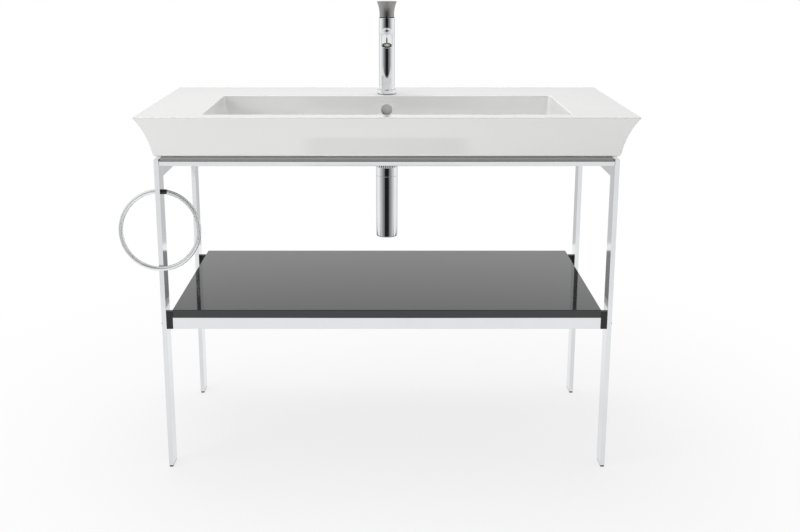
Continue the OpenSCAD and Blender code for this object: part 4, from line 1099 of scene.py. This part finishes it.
# %% A tube along a path
sweep_tube, asked, result = node_tree("tube along a path", Radius="Float", Sides="Int", Material="Material")
circle = add(sweep_tube, "GeometryNodeCurvePrimitiveCircle", {
    "Resolution": asked["Sides"], "Radius": asked["Radius"]})
swept = add(sweep_tube, "GeometryNodeCurveToMesh", {
    "Curve": asked["Geometry"], "Profile Curve": circle.outputs[0]})
real_tube = add(sweep_tube, "GeometryNodeRealizeInstances", {0: swept.outputs[0]})
finished_tube = add(sweep_tube, "GeometryNodeSetMaterial", {
    "Geometry": real_tube.outputs[0], "Material": asked["Material"]})
sweep_tube.links.new(finished_tube.outputs[0], result.inputs[0])


def path_object(name, points):
    """A poly curve through points in mm."""
    curve = bpy.data.curves.new(name, "CURVE")
    curve.dimensions = "3D"
    spline = curve.splines.new("POLY")
    spline.points.add(len(points) - 1)
    for point, p in zip(spline.points, points):
        point.co = (*[c * MM for c in p], 1)
    return thing(name, curve)


# %% The spout's path
BEND_R, BEND_A, TIP, REACH, FLARE = 24.5, math.radians(57), 8, 120, 3.5
JOIN_STEPS, BEND_STEPS = 24, 24
bend_y = tap.y - REACH + BEND_R * math.sin(BEND_A) + TIP * math.cos(BEND_A)
root_y = mm_box("tap_spout")[1].y
ahead = Vector((0, -math.cos(BEND_A), -math.sin(BEND_A)))
join_back, join_front = tap.y - 12, tap.y - COLUMN_R - FLARE
join_ys = [join_back + (join_front - join_back) * k / JOIN_STEPS for k in range(JOIN_STEPS + 1)]
path = [Vector((0, y, SPOUT_Z)) for y in (root_y, *join_ys, (join_front + bend_y) / 2)]
bend_turns = [BEND_A * k / BEND_STEPS for k in range(BEND_STEPS + 1)]
path += [Vector((0, bend_y - BEND_R * math.sin(a), SPOUT_Z - BEND_R + BEND_R * math.cos(a)))
         for a in bend_turns]
outlet = path[-1] + ahead * TIP
path += [path[-1] + ahead * TIP / 2, outlet]
print("spout path", len(path), "points, outlet at", outlet)

# %% Spout tube with its wall
spout = grown(path_object("spout_bent_tube", path), sweep_tube,
              Radius=SPOUT_R * MM, Sides=96, Material=chrome)
bm = bmesh.new()
bm.from_mesh(spout.data)
bmesh.ops.remove_doubles(bm, verts=bm.verts, dist=TINY)
middle = path[3] * MM
nearest = min(bm.faces, key=lambda f: (f.calc_center_median() - middle).length)
if nearest.normal.dot(nearest.calc_center_median() - middle) < 0:
    bmesh.ops.reverse_faces(bm, faces=bm.faces)
bm.to_mesh(spout.data)
bm.free()
wall_modifier = spout.modifiers.new("wall", "SOLIDIFY")
wall_modifier.thickness, wall_modifier.offset = (SPOUT_R - SPOUT_IN) * MM, -1
baked(spout)

# %% The flare at the spout's root
for v in spout.data.vertices:
    across, up = v.co.x / MM, v.co.z / MM - SPOUT_Z
    from_column = tap.y - math.sqrt(COLUMN_R ** 2 - across ** 2) - v.co.y / MM
    if math.hypot(across, up) > SPOUT_R - 0.2 and 0 <= from_column < FLARE:
        grow = FLARE - math.sqrt(FLARE ** 2 - (FLARE - from_column) ** 2)
        v.co.x *= 1 + grow / SPOUT_R
        v.co.z = (SPOUT_Z + up * (1 + grow / SPOUT_R)) * MM
piece(spout, chrome, ["tap_spout", "spout_collar"], bevel=0.45)

# %% [markdown]
# ### The aerator
# The outlet holds a black housing with a pale insert. The housing's black lip round the mouth also stands
# in for the shade inside the outlet, so that dark ring is partly painted shade. The insert's face is a
# honeycomb: short hexagonal cells on a grid. The cells repeat, so a node tree sets one cell on each point of
# the grid.

# %% Where the outlet points
def in_metres(place):
    """A place in mm as one in metres, for a mesh that is made already."""
    moved = place.copy()
    moved.translation = moved.translation * MM
    return moved


at_outlet = in_metres(Matrix.Translation(outlet) @ ahead.to_track_quat("Z", "X").to_matrix().to_4x4())

# %% Aerator insert with its honeycomb
CELL, CELL_H, FACE_R, FACE_EDGE, INSERT_IN, INSERT_L = 1.9, 1.6, 9.4, 0.7, 1.8, 5.0
GRID, CELL_FIT, ROW_SHARE = range(-5, 6), 0.98, 0.866
cell_in, cell_out = CELL / 2 * 0.96, CELL / 2 * 1.13
cell = turned_mesh([(cell_in, 0, 0), (cell_out, 0, 0), (cell_out, CELL_H, 0), (cell_in, CELL_H, 0)],
                   (0, 0, 0), n=6, closed=True)
spots = []
for j in GRID:
    for i in GRID:
        x, y = CELL * CELL_FIT * (i + (j % 2) / 2), CELL * CELL_FIT * ROW_SHARE * j
        if math.hypot(x, y) < FACE_R - FACE_EDGE - CELL * 0.5:
            spots.append(((x, y, -INSERT_IN - CELL_H), (0, 0, 30)))
comb = copies_at("aerator_comb", cell, spots, acetal)
comb.data.transform(at_outlet)
piece(comb, acetal)
plate = turned_mesh([(0, -INSERT_IN - INSERT_L, 0), (FACE_R, -INSERT_IN - INSERT_L, 0.3),
                     (FACE_R, -INSERT_IN, 0.3), (FACE_R - FACE_EDGE, -INSERT_IN, 0.1),
                     (FACE_R - FACE_EDGE, -INSERT_IN - CELL_H, 0), (0, -INSERT_IN - CELL_H, 0)],
                    (0, 0, 0), n=64)
insert = thing("aerator_insert_turned", plate)
insert.data.transform(at_outlet)
piece(insert, acetal, ["aerator_insert"])

# %% Aerator housing
HOUSING_R, HOUSING_IN, MOUTH_R = 10.9, 9.6, 7.2
# The black lip from HOUSING_R in to MOUTH_R also draws the shade inside the outlet's mouth: partly painted
# shade.
housing = thing("aerator_housing_turned", turned_mesh(
    [(HOUSING_IN, -7.6, 0.1), (HOUSING_R, -7.6, 0.2), (HOUSING_R, -0.6, 0.4), (MOUTH_R, -0.6, 0.3),
     (MOUTH_R, -1.5, 0.2), (HOUSING_IN, -1.5, 0)], (0, 0, 0), closed=True))
housing.data.transform(at_outlet)
piece(housing, nylon, ["aerator_housing"])

# %% [markdown]
# ## Waste, trap and pipe
# Below the drain hangs a bottle trap: a head, a long plain bottle, and a pipe that runs back to the wall
# under a rosette. Nuts that are turned by hand have shallow flutes; a fluted ring is a lathe whose radius
# ripples.

# %% Fluted rings
def fluted_mesh(r_out, r_in, start, end, flutes, depth, at, along="Z", edge=0.8):
    """A ring with rounded flutes round it; sizes in mm along its axis from start to end."""
    n, soft = flutes * 8, edge * 0.3

    def wavy(radius, h, ripple):
        """A circle whose radius dips at each flute."""
        turns = [2 * math.pi * i / n for i in range(n)]
        radii = [radius - ripple * (0.5 - 0.5 * math.cos(flutes * t)) ** 3 for t in turns]
        return [(r * math.cos(t), r * math.sin(t), h) for r, t in zip(radii, turns)]

    wavy_rows = [wavy(r_in, start, 0), wavy(r_out - edge, start, 0),
                 wavy(r_out - soft, start + soft, depth / 2), wavy(r_out, start + edge, depth),
                 wavy(r_out, end - edge, depth), wavy(r_out - soft, end - soft, depth / 2),
                 wavy(r_out - edge, end, 0), wavy(r_in, end, 0)]
    place = Matrix.Translation(at) @ LIE_ALONG[along]
    return loft([[place @ Vector(p) for p in row] for row in wavy_rows], closed=True)


# %% Plug cover
COVER_R, CROWN, COVER_Z, PLUG_R, GROOVE_R, STEM_R = 30, 2, 701.8, 14.9, 13.5, 3.5
GROOVE_FROM, GROOVE_TO, PLUG_END = 2, 5, 7
drain_at = (drain.x, drain.y, 0)
cover_low, cover_high = mm_box("plug_cover")
crown_r = (COVER_R ** 2 + CROWN ** 2) / (2 * CROWN)
dome = [(r, cover_high.z - crown_r + math.sqrt(crown_r ** 2 - r * r), 0) for r in (0, 6, 12, 18, 24, 28)]
cover = thing("plug_cover_turned", turned_mesh(
    dome + [(COVER_R, cover_high.z - CROWN, 1.0), (COVER_R, COVER_Z, 0.5), (PLUG_R, COVER_Z, 0.3),
            (PLUG_R, COVER_Z - GROOVE_FROM, 0.1), (GROOVE_R, COVER_Z - GROOVE_FROM, 0.1),
            (GROOVE_R, COVER_Z - GROOVE_TO, 0.1), (PLUG_R, COVER_Z - GROOVE_TO, 0.1),
            (PLUG_R, COVER_Z - PLUG_END, 0.4), (STEM_R, COVER_Z - PLUG_END, 0.3), (STEM_R, cover_low.z, 0.5),
            (0, cover_low.z, 0)], drain_at))
piece(cover, chrome, ["plug_cover"], body="plug")

# %% Trap head
TRAP_R, HEAD_IN, HEAD_REBATE, REBATE_Z = 24.5, 21.1, 22.1, 651.2
head_low, head_high = mm_box("trap_head")
head = thing("trap_head_turned", turned_mesh(
    [(HEAD_REBATE, head_low.z, 0.1), (TRAP_R, head_low.z, 0.35), (TRAP_R, head_high.z, 1.2),
     (HEAD_IN, head_high.z, 0.2), (HEAD_IN, REBATE_Z, 0), (HEAD_REBATE, REBATE_Z, 0)], drain_at, closed=True))
piece(head, chrome, ["trap_head"])

# %% Trap bottle
SEAM_GAP, COLLAR_R, NECK_IN, BOTTLE_IN, BOTTLE_WALL = 0.08, 21.9, 20.2, 22.7, 2.5
OUT_Z, STUB_R, STUB_END, STUB_IN = 619, 19, 44.5, 15.4
bottle_low, bottle_high = mm_box("trap_bottle")
seam = head_low.z - SEAM_GAP
bottle = thing("trap_bottle_turned", turned_mesh(
    [(0, bottle_low.z, 0), (TRAP_R, bottle_low.z, 1.8), (TRAP_R, seam, 0.35), (COLLAR_R, seam, 0.1),
     (COLLAR_R, bottle_high.z, 0.3), (NECK_IN, bottle_high.z, 0.2), (NECK_IN, 638.5, 0), (BOTTLE_IN, 637, 0),
     (BOTTLE_IN, bottle_low.z + BOTTLE_WALL, 1), (0, bottle_low.z + BOTTLE_WALL, 0)], drain_at))
stub = turned_mesh([(0, 23.4, 0), (STUB_R, 23.4, 0), (STUB_R, STUB_END, 0.4), (0, STUB_END, 0)],
                   (drain.x, drain.y, OUT_Z), "Y")
cut(bottle, [stub], "UNION")
cut(bottle, [drill(STUB_IN, 15, 60, (drain.x, drain.y, OUT_Z), "Y", n=96)])
piece(bottle, chrome, ["trap_bottle"])

# %% Outlet nut and the waste's back nut
nut_low, nut_high = mm_box("outlet_nut")
nut = fluted_mesh(21.98, 16.3, nut_low.y, nut_high.y, 24, 0.9, (0, 0, OUT_Z), "Y")
piece(thing("outlet_nut_fluted", nut), chrome, ["outlet_nut"])
backnut_low, backnut_high = mm_box("waste_backnut")
backnut = fluted_mesh(27.98, 21.1, backnut_low.z, backnut_high.z, 30, 1.0, drain_at)
piece(thing("waste_backnut_fluted", backnut), chrome, ["waste_backnut"])

# %% Outlet pipe and wall rosette
PIPE_R, PIPE_IN, ROSE_R, ROSE_IN = 16, 15, 35, 16.5
pipe_low, pipe_high = mm_box("outlet_pipe")
pipe = thing("outlet_pipe_drawn", turned_mesh(
    [(PIPE_IN, pipe_low.y, 0.2), (PIPE_R, pipe_low.y, 0.2), (PIPE_R, pipe_high.y, 0.2),
     (PIPE_IN, pipe_high.y, 0.2)], (0, 0, OUT_Z), "Y", closed=True))
piece(pipe, chrome, ["outlet_pipe"])
rose_low, rose_high = mm_box("wall_rosette")
rosette = thing("wall_rosette_spun", turned_mesh(
    [(ROSE_IN, rose_low.y, 0.3), (20, rose_low.y, 1.2), (23.5, rose_high.y - 6.4, 5),
     (34.4, rose_high.y - 1.3, 1.2), (ROSE_R, rose_high.y, 0.1), (ROSE_IN, rose_high.y, 0.1)],
    (0, 0, OUT_Z), "Y", closed=True))
piece(rosette, chrome, ["wall_rosette"])

# %% [markdown]
# ## The towel ring
# The ring is a bent rod whose two ends meet a pin, and the pin turns in a black bush in the left front leg.
# The ring hangs with its lowest point against the leg's front, so it leans by a few degrees. The rod is
# swept along an arc by the same tree as the spout, and its ends are then cut flat beside the bush.

# %% The ring's path
ROD_R, RING_R, RING_DROP, GAP_LEFT, GAP_RIGHT = 4.9, 84.1, 83.04, -5.9, 17.9
LEAN_A, SPARE_A, RING_STEPS = 6.25, 4, 180
lean = Matrix.Translation(pivot) @ Matrix.Rotation(math.radians(-LEAN_A), 4, "X")
arc_start = math.asin(GAP_RIGHT / RING_R) - math.radians(SPARE_A)
arc_end = 2 * math.pi - math.asin(-GAP_LEFT / RING_R) + math.radians(SPARE_A)
arc_turns = [arc_start + (arc_end - arc_start) * k / RING_STEPS for k in range(RING_STEPS + 1)]
arc = [(RING_R * math.sin(a), 0, RING_R * math.cos(a) - RING_DROP) for a in arc_turns]

# %% Towel ring
rod = grown(path_object("towel_ring_rod", [lean @ Vector(p) for p in arc]), sweep_tube,
            Radius=ROD_R * MM, Sides=32, Material=chrome)
bm = bmesh.new()
bm.from_mesh(rod.data)
bmesh.ops.remove_doubles(bm, verts=bm.verts, dist=TINY)
bmesh.ops.holes_fill(bm, edges=[e for e in bm.edges if e.is_boundary])
bmesh.ops.recalc_face_normals(bm, faces=bm.faces)
bm.to_mesh(rod.data)
bm.free()
trim = box_mesh((GAP_LEFT, -9, -9), (GAP_RIGHT, 9, 9))
trim.transform(in_metres(lean))
cut(rod, [trim])
piece(rod, ring_steel, ["towel_ring"], body="towel_ring", bevel=0.5, sharp=50)

# %% Bush
BUSH_IN = 3.05
bush = thing("pivot_bush", turned_mesh(
    [(BUSH_IN, bush_low.x, 0.2), (BUSH_R, bush_low.x, 0.5), (BUSH_R, bush_high.x, 0.6),
     (BUSH_IN, bush_high.x, 0.2)], (0, pivot.y, pivot.z), "X", n=64, closed=True))
piece(bush, nylon, ["ring_bush"])

# %% [markdown]
# ## Parts that keep their CAD shape
# Seals, washers, the tap's inside and the waste's body are simple turned or moulded parts that are hidden,
# or show only from below. Their CAD shape is the real one, so they only get their finish.

# %% Finishes for the parts that stay
staying = {
    rubber: ["tap_base_seal", "tap_rubber_washer", "waste_top_seal", "waste_bottom_seal", "plug_seal",
             "trap_head_seal", "trap_neck_seal", "outlet_seal"],
    brass: ["cartridge_nut", "tap_shank", "tap_nut"],
    acetal: ["cartridge_housing", "mixing_core", "click_unit"],
    stainless: ["lever_stem", "handle_screw", "tap_steel_washer"],
    chrome: ["waste_body", "trap_dip_tube", "ring_pin"]}
for material, names in staying.items():
    for name in names:
        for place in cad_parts[name].material_slots:
            place.material = material
print("parts that keep their CAD shape", sum(len(names) for names in staying.values()))
